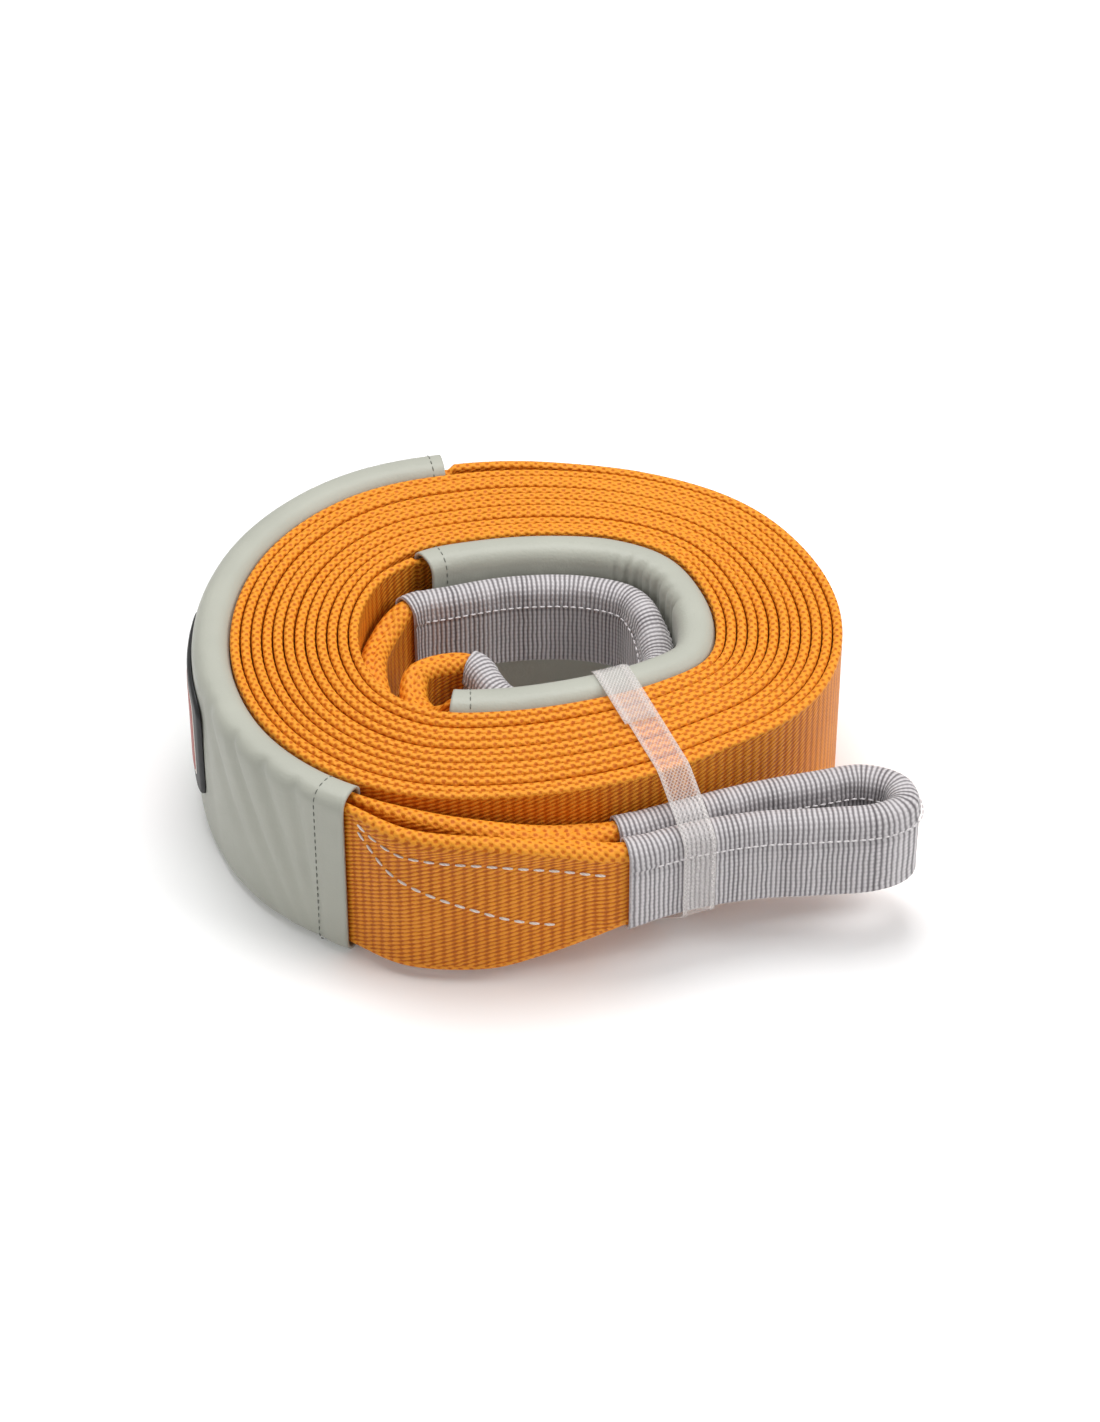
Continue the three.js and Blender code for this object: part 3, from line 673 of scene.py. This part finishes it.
def sewing_thread(name, colour):
    """Twisted polyester sewing thread: pale, dull and a little fuzzy."""
    material, tree = new_material(name)
    if tree is None:
        return material
    place = add_node(tree, "ShaderNodeTexCoord").outputs["Object"]
    twist = add_node(tree, "ShaderNodeTexWave", {"bands_direction": "DIAGONAL"},
                     {"Vector": place, "Scale": band_scale(0.8 * MM)})
    tint = add_node(tree, "ShaderNodeMix", {"data_type": "RGBA"}, {
        0: twist.outputs["Fac"], 6: shade(colour, 0.8), 7: shade(colour, 1.05)})
    close_material(tree, add_node(tree, "ShaderNodeBsdfPrincipled", {}, {
        "Base Color": tint.outputs[2], "Roughness": 0.75, "Sheen Weight": 0.3}))
    return material


def moulded_rubber(name, hex_colour, roughness):
    """Moulded soft rubber: even colour with a fine matt spark grain."""
    material, tree = new_material(name)
    if tree is None:
        return material
    place = add_node(tree, "ShaderNodeTexCoord").outputs["Object"]
    grain = add_node(tree, "ShaderNodeTexNoise", {}, {"Vector": place, "Scale": 1 / (1.2 * MM), "Detail": 3.0})
    base = linear(hex_colour)
    tint = add_node(tree, "ShaderNodeMix", {"data_type": "RGBA"}, {
        0: grain.outputs["Fac"], 6: shade(base, 0.8), 7: shade(base, 1.25)})
    bump = add_node(tree, "ShaderNodeBump", {}, {"Height": grain.outputs["Fac"], "Distance": 0.05 * MM})
    close_material(tree, add_node(tree, "ShaderNodeBsdfPrincipled", {}, {
        "Base Color": tint.outputs[2], "Roughness": roughness, "Normal": bump.outputs["Normal"]}))
    return material


def embossed_film(sizes):
    """Thin polypropylene strapping: milky and see-through, with a diamond emboss that scatters light."""
    material, tree = new_material("embossed_polypropylene_film")
    if tree is None:
        return material
    weave = add_node(tree, "ShaderNodeUVMap", {"uv_map": "weave"}).outputs["UV"]
    ends = add_node(tree, "ShaderNodeAttribute", {"attribute_name": "end"}).outputs["Fac"]
    turned = add_node(tree, "ShaderNodeMapping", {}, {"Vector": weave, "Rotation": (0, 0, 0.95)})
    other = add_node(tree, "ShaderNodeMapping", {}, {"Vector": weave, "Rotation": (0, 0, -0.95)})
    first = add_node(tree, "ShaderNodeTexWave", {"bands_direction": "X"},
                     {"Vector": turned.outputs[0], "Scale": band_scale(1.3), "Distortion": 0.3})
    second = add_node(tree, "ShaderNodeTexWave", {"bands_direction": "X"},
                      {"Vector": other.outputs[0], "Scale": band_scale(1.3), "Distortion": 0.3})
    diamonds = add_node(tree, "ShaderNodeMath", {"operation": "MAXIMUM"},
                        {0: first.outputs["Fac"], 1: second.outputs["Fac"]})
    milky = add_node(tree, "ShaderNodeMapRange", {}, {
        "Value": diamonds.outputs[0], "From Min": 0.5, "To Min": 0.06, "To Max": 0.26})
    cover = add_node(tree, "ShaderNodeMath", {"operation": "MULTIPLY_ADD", "use_clamp": True},
                     {0: ends, 1: 0.3, 2: milky.outputs[0]})
    bump = add_node(tree, "ShaderNodeBump", {}, {"Height": diamonds.outputs[0], "Distance": 0.12 * MM})
    close_material(tree, add_node(tree, "ShaderNodeBsdfPrincipled", {}, {
        "Base Color": shade(sizes.film, 1.0), "Roughness": 0.35, "Alpha": cover.outputs[0],
        "Normal": bump.outputs["Normal"]}))
    return material


# Pieces

class STRAP_OT_roll(bpy.types.Operator):
    """Rolls the flat webbing in one long strip, from inside the outer sleeve to inside the inner one"""
    bl_idname = "strap.roll"
    bl_label = "Rolled Webbing"

    def execute(self, context):
        sizes = context.scene.strap_webbing
        roll = ROLL
        step = 2.6
        first, last = OUTER_SLEEVE[0] - 0.03, roll.turns + INNER_SLEEVE[0] + 0.03
        coarse = np.linspace(first, last, 1500)
        point, _, outward = bore_station(coarse)
        line = point + outward * roll.offset(np.clip(coarse, OUTER_END, None))[:, None]
        reach = reach_along(line)
        turn = np.interp(np.arange(0, reach[-1], step), reach, coarse)
        point, _, outward = bore_station(turn)
        middle = roll.offset(turn) + roll.thick / 2
        join = OUTER_END + 0.012
        away = ease(turn, join, OUTER_SLEEVE[0] + 0.01)
        in_sleeve = roll.outside(np.mod(turn, 1.0)) - roll.pack / 2 + roll.thick / 2
        middle = np.where(turn < join, middle + away * (in_sleeve - middle), middle)
        tail = turn - roll.turns
        reach_in = FIT_GAP + SLEEVE_WALL + SPLICE_FIT
        in_splice = roll.bore_face(INNER_SLEEVE[0]) - reach_in - roll.thick / 2
        away = ease(tail, INNER_END, INNER_SLEEVE[0] - 0.006)
        middle = np.where(tail > INNER_END, middle + away * (in_splice - middle), middle)
        lift = 0.35 * np.sin(2 * math.pi * turn * 0.37 + 1.1) + 0.25 * np.sin(2 * math.pi * turn * 1.73)
        tight = 1 - (roll.pitch(turn) - roll.thick) / max(roll.slack, 1e-6)
        inset = np.where((turn < OUTER_SLEEVE[0] + 0.004) | (tail > -0.003), 2.5, 0.0)
        rings, end = rounded_rings(
            roll.thick / 2 - 0.06, roll.width / 2 - inset, 1.5 - 0.7 * tight, 3, [0.008, 0.1, 0.5, 0.9, 0.992])
        centre = np.column_stack([point + outward * middle[:, None], roll.middle + lift])
        piece = swept_bar("rolled_webbing", centre, outward, rings, end, nylon_webbing(sizes))
        finish_piece(piece, "webbing", "webbing")
        return {"FINISHED"}


def folded_rings(path, lip, groove):
    """Rings of an eye's webbing: a thicker rolled lip along its top and a groove between its folded edges."""
    rings, end = rounded_rings(
        path.thick / 2, path.height / 2, path.thick / 2 * 0.96, 5,
        [0.02, 0.1, 0.2, 0.35, 0.5, 0.65, 0.75, 0.84, 0.9, 0.95, 0.985])
    below = path.height[:, None] / 2 - rings[..., 1]
    side = np.sign(rings[..., 0])
    swell = np.exp(-(((below - 5.0) / 3.6) ** 2)) * lip[:, None]
    rings[..., 0] += side * swell
    dent = np.exp(-((rings[..., 0] / 1.1) ** 2)) * (below < 5) * groove[:, None]
    rings[..., 1] -= dent
    return rings, end


def on_face(path, rings, up, out):
    """Points on the face of an eye's rings that lies to the right of its way, at a height for each station."""
    face = rings[:, ::-1][:, :rings.shape[1] // 2]
    across = np.array([np.interp(height, ring[:, 1], ring[:, 0]) for height, ring in zip(up, face)])
    plan = path.plan + path.outward * (across - out)[:, None]
    return np.column_stack([plan, path.middle + up])


class STRAP_OT_outer_eye(bpy.types.Operator):
    """Folds the webbing of the outer eye out of its sleeve and sews it with two rows of pale stitches"""
    bl_idname = "strap.outer_eye"
    bl_label = "Outer Eye"

    def execute(self, context):
        sizes = context.scene.strap_webbing
        path = EyePath(outer_eye_stops(ROLL))
        bare = np.maximum(ease(path.place, 4.9, 4.4), ease(path.place, 16.1, 16.6))
        lip = 2.0 * bare * ease(path.place, 1.0, 1.8) * ease(path.place, 20.0, 19.2)
        rings, end = folded_rings(path, lip, 2.4 * bare * ease(path.share, 0.2, 0.9))
        piece = swept_bar(
            "outer_eye_webbing", path.centre(), path.outward, rings, end, nylon_webbing(sizes))
        finish_piece(piece, "webbing", "webbing")
        thread = sewing_thread("polyester_sewing_thread", sizes.stitch)
        share = (path.place - 1.15) / (4.75 - 1.15)
        shown = (share >= 0) & (share <= 1)
        half = path.height / 2
        upper = half - 3.5 - 9 * ease(share, -0.05, 0.25)
        lower = half - 6 - 9 * ease(share, -0.05, 0.2) - (2 * half - 24) * np.clip(share, 0, 1)
        for name, up, until in (("upper", upper, 1.0), ("lower", lower, 0.78)):
            row = on_face(path, rings, up, 0.3)[shown & (share <= until)]
            finish_piece(stitch_row(f"eye_stitching_{name}", row, thread, 4.2, 2.2, 0.6), "webbing")
        return {"FINISHED"}


class STRAP_OT_inner_eye(bpy.types.Operator):
    """Coils the webbing of the inner eye in the bore"""
    bl_idname = "strap.inner_eye"
    bl_label = "Inner Eye"

    def execute(self, context):
        path = EyePath(inner_eye_stops(ROLL))
        bare = np.maximum(ease(path.place, 6.9, 6.4), ease(path.place, 19.1, 19.6))
        rings, end = folded_rings(path, 0.8 * bare * path.share, 1.6 * bare * ease(path.share, 0.2, 0.9))
        piece = swept_bar(
            "inner_eye_webbing", path.centre(), path.outward, rings, end,
            nylon_webbing(context.scene.strap_webbing))
        finish_piece(piece, "webbing", "webbing")
        return {"FINISHED"}


def splice_sleeve(name, turns, distance, creases, node_name, material):
    """A vinyl sleeve along the roll. creases are (turn, width, depth, side, lean) of its folds."""
    roll = ROLL
    point, _, outward = bore_station(turns)
    centre = np.column_stack([point + outward * distance[:, None], np.full(len(turns), roll.middle)])
    levels = list(np.linspace(0.04, 0.96, 17))
    half_thick, half_high = roll.sleeve_thick / 2, roll.sleeve_high / 2
    outer, end = rounded_rings(np.full(len(turns), half_thick), half_high, 6.6, 5, levels)
    inner, _ = rounded_rings(
        np.full(len(turns), half_thick - SLEEVE_WALL), half_high - SLEEVE_WALL, 5.4, 5, levels)
    up_share = outer[..., 1] / half_high
    length = np.abs(turns - turns[0])
    to_end = np.minimum(length, length[-1] - length)[:, None]
    for turn, width, depth, side, lean in creases:
        place = turns[:, None] - turn - lean * (up_share - 0.2)
        fold = np.exp(-((place / width) ** 2)) * depth
        face = np.clip(side * outer[..., 0] / half_thick, 0, 1)
        shape = fold * face * (0.45 + 0.55 * np.clip(up_share + 0.6, 0, 1))
        outer[..., 0] -= side * shape
        inner[..., 0] -= side * np.maximum(shape, 0)
    swell = 0.5 * np.sin(length * 31.0)[:, None] * (1 - np.abs(up_share)) * np.clip(to_end * 30, 0, 1)
    outer[..., 0] += np.sign(outer[..., 0]) * np.maximum(swell, -0.3) * 0.6
    piece = swept_sleeve(name, centre, outward, outer, inner, end, material)
    finish_piece(piece, node_name, node_name)
    return centre, outward


class STRAP_OT_splice_sleeves(bpy.types.Operator):
    """Wraps the two vinyl sleeves round the sewn splices, with their creases and end stitching"""
    bl_idname = "strap.splice_sleeves"
    bl_label = "Splice Sleeves"

    def execute(self, context):
        sizes = context.scene.strap_sleeves
        vinyl = coated_vinyl(sizes)
        roll = ROLL
        turns = np.linspace(1 + OUTER_SLEEVE[0], OUTER_SLEEVE[1], 260)
        creases = [
            (0.74, 0.0028, 1.7, 1, 0.006), (0.752, 0.0034, 2.4, 1, 0.013), (0.766, 0.0032, 2.0, 1, 0.02),
            (0.784, 0.0045, 1.5, 1, 0.028), (0.808, 0.006, 0.8, 1, 0.01),
        ]
        centre, outward = splice_sleeve(
            "outer_vinyl_sleeve", turns, roll.outside(turns), creases, "outer_splice_sleeve", vinyl)
        self.end_stitches("outer_sleeve_stitching", centre, outward, "outer_splice_sleeve", (7, 250))
        turns = np.linspace(INNER_SLEEVE[0], INNER_SLEEVE[1], 240)
        creases = [
            (turn, 0.0028 + 0.001 * (i % 3), 0.9 + 0.8 * ((i * 7) % 4) / 3, -1, 0.004 * ((i % 3) - 1))
            for i, turn in enumerate(np.linspace(0.215, 0.335, 10))
        ]
        centre, outward = splice_sleeve(
            "inner_vinyl_sleeve", turns, roll.inside(turns), creases, "inner_splice_sleeve", vinyl)
        self.end_stitches("inner_sleeve_stitching", centre, outward, "inner_splice_sleeve", (7, 232))
        return {"FINISHED"}

    def end_stitches(self, name, centre, outward, slot, stations):
        roll = ROLL
        thread = sewing_thread("sage_sewing_thread", linear("#6F7268"))
        half = roll.sleeve_thick / 2 + 0.05
        reach = roll.sleeve_high / 2 + 0.05
        rings, _ = rounded_rings(np.array([half]), reach, 6.6, 5, np.linspace(0.04, 0.96, 17))
        for number, station in enumerate(stations):
            plan = centre[station, :2] + outward[station] * rings[0][:, :1]
            path = np.column_stack([plan, centre[station, 2] + rings[0][:, 1]])
            piece = stitch_row(f"{name}_{number + 1}", path, thread, 2.2, 1.5, 0.3)
            finish_piece(piece, slot)


def eye_sleeve(name, stops, ends, node_name, material, thread, side):
    """A woven sleeve on an eye, with its doubled hems and a sewn welt below its top edge."""
    path = EyePath(stops, *ends)
    wall = SLEEVE_WALL
    grow = FIT_GAP + wall
    from_end = np.minimum(path.reach, path.reach[-1] - path.reach)
    hem = 0.55 * ease(from_end, 9.0, 7.5)
    hem = np.where(from_end < 9.0, hem, 0)
    levels = [0.03, 0.1, 0.2, 0.35, 0.5, 0.65, 0.72, 0.78, 0.82, 0.86, 0.92, 0.97]
    half_thick, half_high = path.thick / 2 + grow + hem, path.height / 2 + grow + hem * 0.5
    outer, end = rounded_rings(half_thick, half_high, half_thick * 0.92, 5, levels)
    inner, _ = rounded_rings(half_thick - wall, half_high - wall, (half_thick - wall) * 0.92, 5, levels)
    below = half_high[:, None] - outer[..., 1]
    above = half_high[:, None] + outer[..., 1]
    welt = np.exp(-(((below - 9.5) / 1.0) ** 2)) * 1.2 - np.exp(-(((below - 11.8) / 1.0) ** 2)) * 0.8
    welt = welt + np.exp(-(((above - 4.5) / 1.0) ** 2)) * 0.5
    outer[..., 0] += np.sign(outer[..., 0]) * welt
    ripple = 0.25 * np.sin(path.reach / 5.3)[:, None] + 0.18 * np.sin(path.reach / 2.9 + 1)[:, None]
    outer[..., 0] += np.sign(outer[..., 0]) * ripple * (np.abs(outer[..., 1]) < half_high[:, None] - 3)
    piece = swept_sleeve(name, path.centre(), path.outward, outer, inner, end, material)
    finish_piece(piece, node_name, node_name)
    inset = 5
    marks = np.linspace(path.reach[inset], path.reach[-inset], 240)
    top = np.interp(marks, path.reach, path.middle + half_high)
    for number, way in enumerate((side, -side)):
        row = path.skin(marks, 0.0, grow + 1.2, way)
        row[:, 2] = top - 9.5
        finish_piece(stitch_row(f"{name}_seam_{number + 1}", row, thread, 2.3, 1.1, 0.42), node_name)


class STRAP_OT_eye_sleeves(bpy.types.Operator):
    """Pulls the ribbed woven sleeves over both eyes"""
    bl_idname = "strap.eye_sleeves"
    bl_label = "Eye Sleeves"

    def execute(self, context):
        sizes = context.scene.strap_sleeves
        tube = ribbed_tube(sizes)
        thread = sewing_thread("grey_sewing_thread", linear("#E2DDDE"))
        eye_sleeve("outer_woven_sleeve", outer_eye_stops(ROLL), (5, 16), "outer_eye_sleeve", tube, thread, 1)
        eye_sleeve("inner_woven_sleeve", inner_eye_stops(ROLL), (7, 19), "inner_eye_sleeve", tube, thread, -1)
        return {"FINISHED"}


class STRAP_OT_patch(bpy.types.Operator):
    """Moulds the plain rubber patch with its rim and inlay on the outer sleeve"""
    bl_idname = "strap.patch"
    bl_label = "Sleeve Patch"

    def execute(self, context):
        roll = ROLL
        rubber = moulded_rubber("moulded_black_rubber", "#242425", 0.5)
        inlay = moulded_rubber("moulded_red_rubber", "#A8473A", 0.45)
        outline = moulded_rubber("moulded_pale_rubber", "#D9D3CC", 0.5)
        (first, last), height, rise = PATCH_TURNS, PATCH_HEIGHT, PATCH_RISE
        base = roll.sleeve_thick / 2 + FIT_GAP
        self.plate(
            "patch_base", first, last, height, rise, base, PATCH_THICK, PATCH_CORNER, rubber, "sleeve_patch")
        for name, inset, out, material in (
                ("patch_outline", 6.0, 2.15, outline), ("patch_inlay", 7.2, 2.35, inlay)):
            edge = inset / (BORE_LENGTH * OUTSIDE_SHARE)
            self.plate(
                name, first + edge, last - edge, height - 2 * inset, rise, base + out - INLAY_THICK,
                INLAY_THICK, INLAY_CORNER, material, None)
        return {"FINISHED"}

    def plate(self, name, first, last, height, rise, base, thick, corner, material, node_name):
        """A thin plate bent to the sleeve, with rounded corners and a rounded rim."""
        roll = ROLL
        columns, rows = 46, 26
        turns = np.linspace(first, last, columns)
        point, _, outward = bore_station(turns)
        length = (last - first) * BORE_LENGTH * OUTSIDE_SHARE
        along = np.linspace(-length / 2, length / 2, columns)
        clip = np.clip((np.abs(along) - (length / 2 - corner)) / corner, 0, 1)
        half = height / 2 - corner * (1 - np.sqrt(1 - clip ** 2))
        share = np.sin(np.linspace(-math.pi / 2, math.pi / 2, rows))
        points, faces = [], []
        for layer in (0, 1):
            for i in range(columns):
                for j in range(rows):
                    up = half[i] * share[j]
                    edge = min(half[i] - abs(up), length / 2 - abs(along[i]))
                    round_off = thick * (1 - math.sqrt(max(0.0, 1 - (1 - min(edge / thick, 1)) ** 2)))
                    out = roll.outside(turns[i]) + base + (thick - 0.7 * round_off if layer else 0)
                    plan = point[i] + outward[i] * out
                    points.append((plan[0], plan[1], roll.middle + rise + up))
        grid = columns * rows
        for i in range(columns - 1):
            for j in range(rows - 1):
                a, b = i * rows + j, (i + 1) * rows + j
                faces.append((a, a + 1, b + 1, b))
                faces.append((grid + a, grid + b, grid + b + 1, grid + a + 1))
        rim = [i * rows for i in range(columns)] + [(columns - 1) * rows + j for j in range(1, rows)]
        rim += [i * rows + rows - 1 for i in range(columns - 2, -1, -1)] + list(range(rows - 2, 0, -1))
        for a, b in zip(rim, rim[1:] + rim[:1]):
            faces.append((a, b, grid + b, grid + a))
        nodes = [node_name] if node_name else []
        finish_piece(put_mesh(name, points, faces, material), "sleeve_patch", *nodes)


class STRAP_OT_tie_band(bpy.types.Operator):
    """Wraps the clear film band round the front of the roll, with its welded overlap on top"""
    bl_idname = "strap.tie_band"
    bl_label = "Tie Band"

    def execute(self, context):
        film = embossed_film(context.scene.strap_sleeves)
        path = self.rounded_path(self.corners())
        piece = self.ribbon("tie_band_film", path, 0.0, BAND_THICK, film, True)
        finish_piece(piece, "tie_band", "tie_band")
        on_top = self.overlap(path)
        piece = self.ribbon("tie_band_weld", on_top, WELD_SHIFT, WELD_THICK, film, False)
        finish_piece(piece, "tie_band")
        return {"FINISHED"}

    def corners(self):
        """The band's path in its upright plane, as [distance out of the bore outline, height]."""
        roll = ROLL
        clear = FIT_GAP + 0.25
        face = float(roll.bore_face(BAND_TURN))
        inner = face - FIT_GAP - roll.sleeve_thick
        top = roll.middle + roll.sleeve_high / 2
        outside = float(roll.offset(BAND_TURN)) + roll.thick
        leg = outside + 2 * (LEG_GAP + roll.eye_thick) + 1.2
        leg_top = roll.middle + OUTER_EYE_RISE + roll.eye_high / 2
        leg_bottom = leg_top - roll.eye_high
        return [
            (inner - clear, 0.35), (inner - clear, top - BAND_BEND), (inner + BAND_BEND, top + clear),
            (face - BAND_BEND, top + clear), (outside + clear, roll.top + clear),
            (leg - BAND_BEND, leg_top + clear), (leg + clear, leg_top - BAND_BEND),
            (leg + clear, leg_bottom + BAND_BEND), (leg - BAND_BEND, leg_bottom - clear),
            (outside + clear, roll.lift - clear), (face, 0.35),
        ]

    def rounded_path(self, corners):
        corners = np.array(corners)
        path = []
        for i, corner in enumerate(corners):
            before, after = corners[i - 1], corners[(i + 1) % len(corners)]
            reach = min(3.0, 0.4 * np.linalg.norm(before - corner), 0.4 * np.linalg.norm(after - corner))
            start = corner + (before - corner) / np.linalg.norm(before - corner) * reach
            stop = corner + (after - corner) / np.linalg.norm(after - corner) * reach
            for share in (0, 0.25, 0.5, 0.75, 1):
                path.append((1 - share) ** 2 * start + 2 * share * (1 - share) * corner + share ** 2 * stop)
            following = corners[(i + 1) % len(corners)] - corner
            span = np.linalg.norm(following)
            count = int(span // 5)
            next_reach = min(3.0, 0.4 * span)
            way = following / span
            for step in range(1, count):
                path.append(corner + way * (reach + (span - reach - next_reach) * step / count))
        return np.array(path)

    def overlap(self, path):
        """The stretch of the path where the second end lies on the first, a little above it."""
        face = float(ROLL.bore_face(BAND_TURN))
        keep = (path[:, 1] > ROLL.top - 1) & (path[:, 0] > face - 15) & (path[:, 0] < face + 24)
        return path[keep] + np.array([0.0, 0.55])

    def ribbon(self, name, path, shift, thick, material, closed):
        """A strip of film along a path, moved sideways by a shift."""
        width = BAND_WIDTH
        point, along, outward = bore_station(np.array(BAND_TURN))
        way = np.roll(path, -1, axis=0) - np.roll(path, 1, axis=0) if closed else np.gradient(path, axis=0)
        way /= np.linalg.norm(way, axis=1, keepdims=True)
        side = np.column_stack([-way[:, 1], way[:, 0]])
        reach = reach_along(path)
        columns = np.linspace(-width / 2, width / 2, 7)
        points, ends = [], []
        for layer in (-0.5, 0.5):
            for i, place in enumerate(path):
                spot = place + side[i] * thick * layer
                for column in columns:
                    plan = point + outward * spot[0] + along * (column + shift)
                    points.append((plan[0], plan[1], max(spot[1], 0.1)))
                    ends.append(1.0 if abs(column) > width / 2 - 0.1 else 0.0)
        faces, weave = [], []
        count, total = len(columns), len(path)
        grid = count * total
        spans = total if closed else total - 1
        for i in range(spans):
            here, there = i * count, ((i + 1) % total) * count
            far = reach[i + 1] if i + 1 < total else reach[i] + 5.0
            for j in range(count - 1):
                corners = [(reach[i], columns[j]), (reach[i], columns[j + 1]),
                           (far, columns[j + 1]), (far, columns[j])]
                faces.append((here + j, here + j + 1, there + j + 1, there + j))
                weave.extend(corners)
                faces.append((grid + here + j, grid + there + j, grid + there + j + 1, grid + here + j + 1))
                weave.extend([corners[0], corners[3], corners[2], corners[1]])
            for j in (0, count - 1):
                face = (here + j, there + j, grid + there + j, grid + here + j)
                faces.append(face if j == 0 else face[::-1])
                weave.extend([(reach[i], columns[j])] * 4)
        if not closed:
            for base in (0, (total - 1) * count):
                for j in range(count - 1):
                    face = (base + j, base + j + 1, grid + base + j + 1, grid + base + j)
                    faces.append(face[::-1] if base == 0 else face)
                    weave.extend([(0.0, columns[j])] * 4)
        return put_mesh(name, points, faces, material, weave, ends)


class STRAP_OT_stage(bpy.types.Operator):
    """Sets the pale floor, the soft studio light and the camera"""
    bl_idname = "strap.stage"
    bl_label = "Stage"

    def execute(self, context):
        scene = context.scene
        scene.view_settings.view_transform = "Standard"
        self.floor()
        world = bpy.data.worlds.new("studio_white")
        world.use_nodes = True
        world.node_tree.nodes["Background"].inputs["Color"].default_value = (1, 1, 1, 1)
        world.node_tree.nodes["Background"].inputs["Strength"].default_value = 0.3
        scene.world = world
        lights = [
            ("key_softbox", (1.2, -0.35, 1.2), 0.75, 12.0), ("top_softbox", (-0.1, 0.35, 1.6), 1.0, 21.0),
            ("left_fill", (-1.3, -0.7, 0.7), 1.0, 2.0),
        ]
        aim = np.array([0.0, 0.0, 0.03])
        for name, place, size, power in lights:
            lamp = bpy.data.lights.new(name, "AREA")
            lamp.shape, lamp.size, lamp.energy = "SQUARE", size, power
            holder = bpy.data.objects.new(name, lamp)
            holder.location = place
            holder.rotation_euler = self.towards(aim - np.array(place))
            scene.collection.objects.link(holder)
        camera = bpy.data.cameras.new("photo_camera")
        tilt = math.radians(CAMERA_TILT)
        camera.sensor_width = 36.0
        camera.lens = 36.0 * PHOTO_FOCAL / PHOTO_HEIGHT
        camera.clip_start, camera.clip_end = 0.05, 20
        holder = bpy.data.objects.new("photo_camera", camera)
        target = (ROLL_PLACE + np.array([0, 0, AIM_HEIGHT])) * MM
        back = np.array([0.0, -math.cos(tilt), math.sin(tilt)])
        holder.location = target + back * CAMERA_DISTANCE
        holder.rotation_euler = (math.pi / 2 - tilt, 0, 0)
        scene.collection.objects.link(holder)
        scene.camera = holder
        return {"FINISHED"}

    def towards(self, way):
        return Vector(way).to_track_quat("-Z", "Y").to_euler()

    def floor(self):
        mesh = bpy.data.meshes.new("studio_floor")
        mesh.from_pydata([(-6, -6, 0), (6, -6, 0), (6, 6, 0), (-6, 6, 0)], [], [(0, 1, 2, 3)])
        material, tree = new_material("painted_white_floor")
        place = add_node(tree, "ShaderNodeTexCoord").outputs["Object"]
        grain = add_node(tree, "ShaderNodeTexNoise", {}, {"Vector": place, "Scale": 3.0})
        tint = add_node(tree, "ShaderNodeMix", {"data_type": "RGBA"}, {
            0: grain.outputs["Fac"], 6: linear("#F6F6F6") + (1,), 7: linear("#FAFAFA") + (1,)})
        close_material(tree, add_node(tree, "ShaderNodeBsdfPrincipled", {}, {
            "Base Color": tint.outputs[2], "Roughness": 0.9,
            "Emission Color": (1, 1, 1, 1), "Emission Strength": 0.1}))
        mesh.materials.append(material)
        floor = bpy.data.objects.new("studio_floor", mesh)
        bpy.context.scene.collection.objects.link(floor)


class STRAP_PT_sidebar(bpy.types.Panel):
    """Lists the strap's sizes and the steps that build it"""
    bl_idname = "STRAP_PT_sidebar"
    bl_label = "Recovery Strap"
    bl_space_type = "VIEW_3D"
    bl_region_type = "UI"
    bl_category = "Strap"

    def draw(self, context):
        for group in (context.scene.strap_webbing, context.scene.strap_sleeves):
            column = self.layout.column()
            for name in group.__annotations__:
                column.prop(group, name)
        for step in STEPS:
            self.layout.operator(step.bl_idname)


STEPS = (
    STRAP_OT_stage, STRAP_OT_roll, STRAP_OT_outer_eye, STRAP_OT_inner_eye, STRAP_OT_splice_sleeves,
    STRAP_OT_eye_sleeves, STRAP_OT_patch, STRAP_OT_tie_band,
)
GROUPS = (StrapWebbing, StrapSleeves)


def register():
    for group in GROUPS + STEPS + (STRAP_PT_sidebar,):
        bpy.utils.register_class(group)
    bpy.types.Scene.strap_webbing = PointerProperty(type=StrapWebbing)
    bpy.types.Scene.strap_sleeves = PointerProperty(type=StrapSleeves)


def unregister():
    del bpy.types.Scene.strap_sleeves
    del bpy.types.Scene.strap_webbing
    for group in reversed(GROUPS + STEPS + (STRAP_PT_sidebar,)):
        bpy.utils.unregister_class(group)


def main():
    global ROLL, ROLL_PLACE
    register()
    ROLL = Roll(bpy.context.scene.strap_webbing)
    ROLL_PLACE = ROLL.placement()
    for step in STEPS:
        group, name = step.bl_idname.split(".")
        getattr(getattr(bpy.ops, group), name)()


if __name__ == "__main__":
    main()
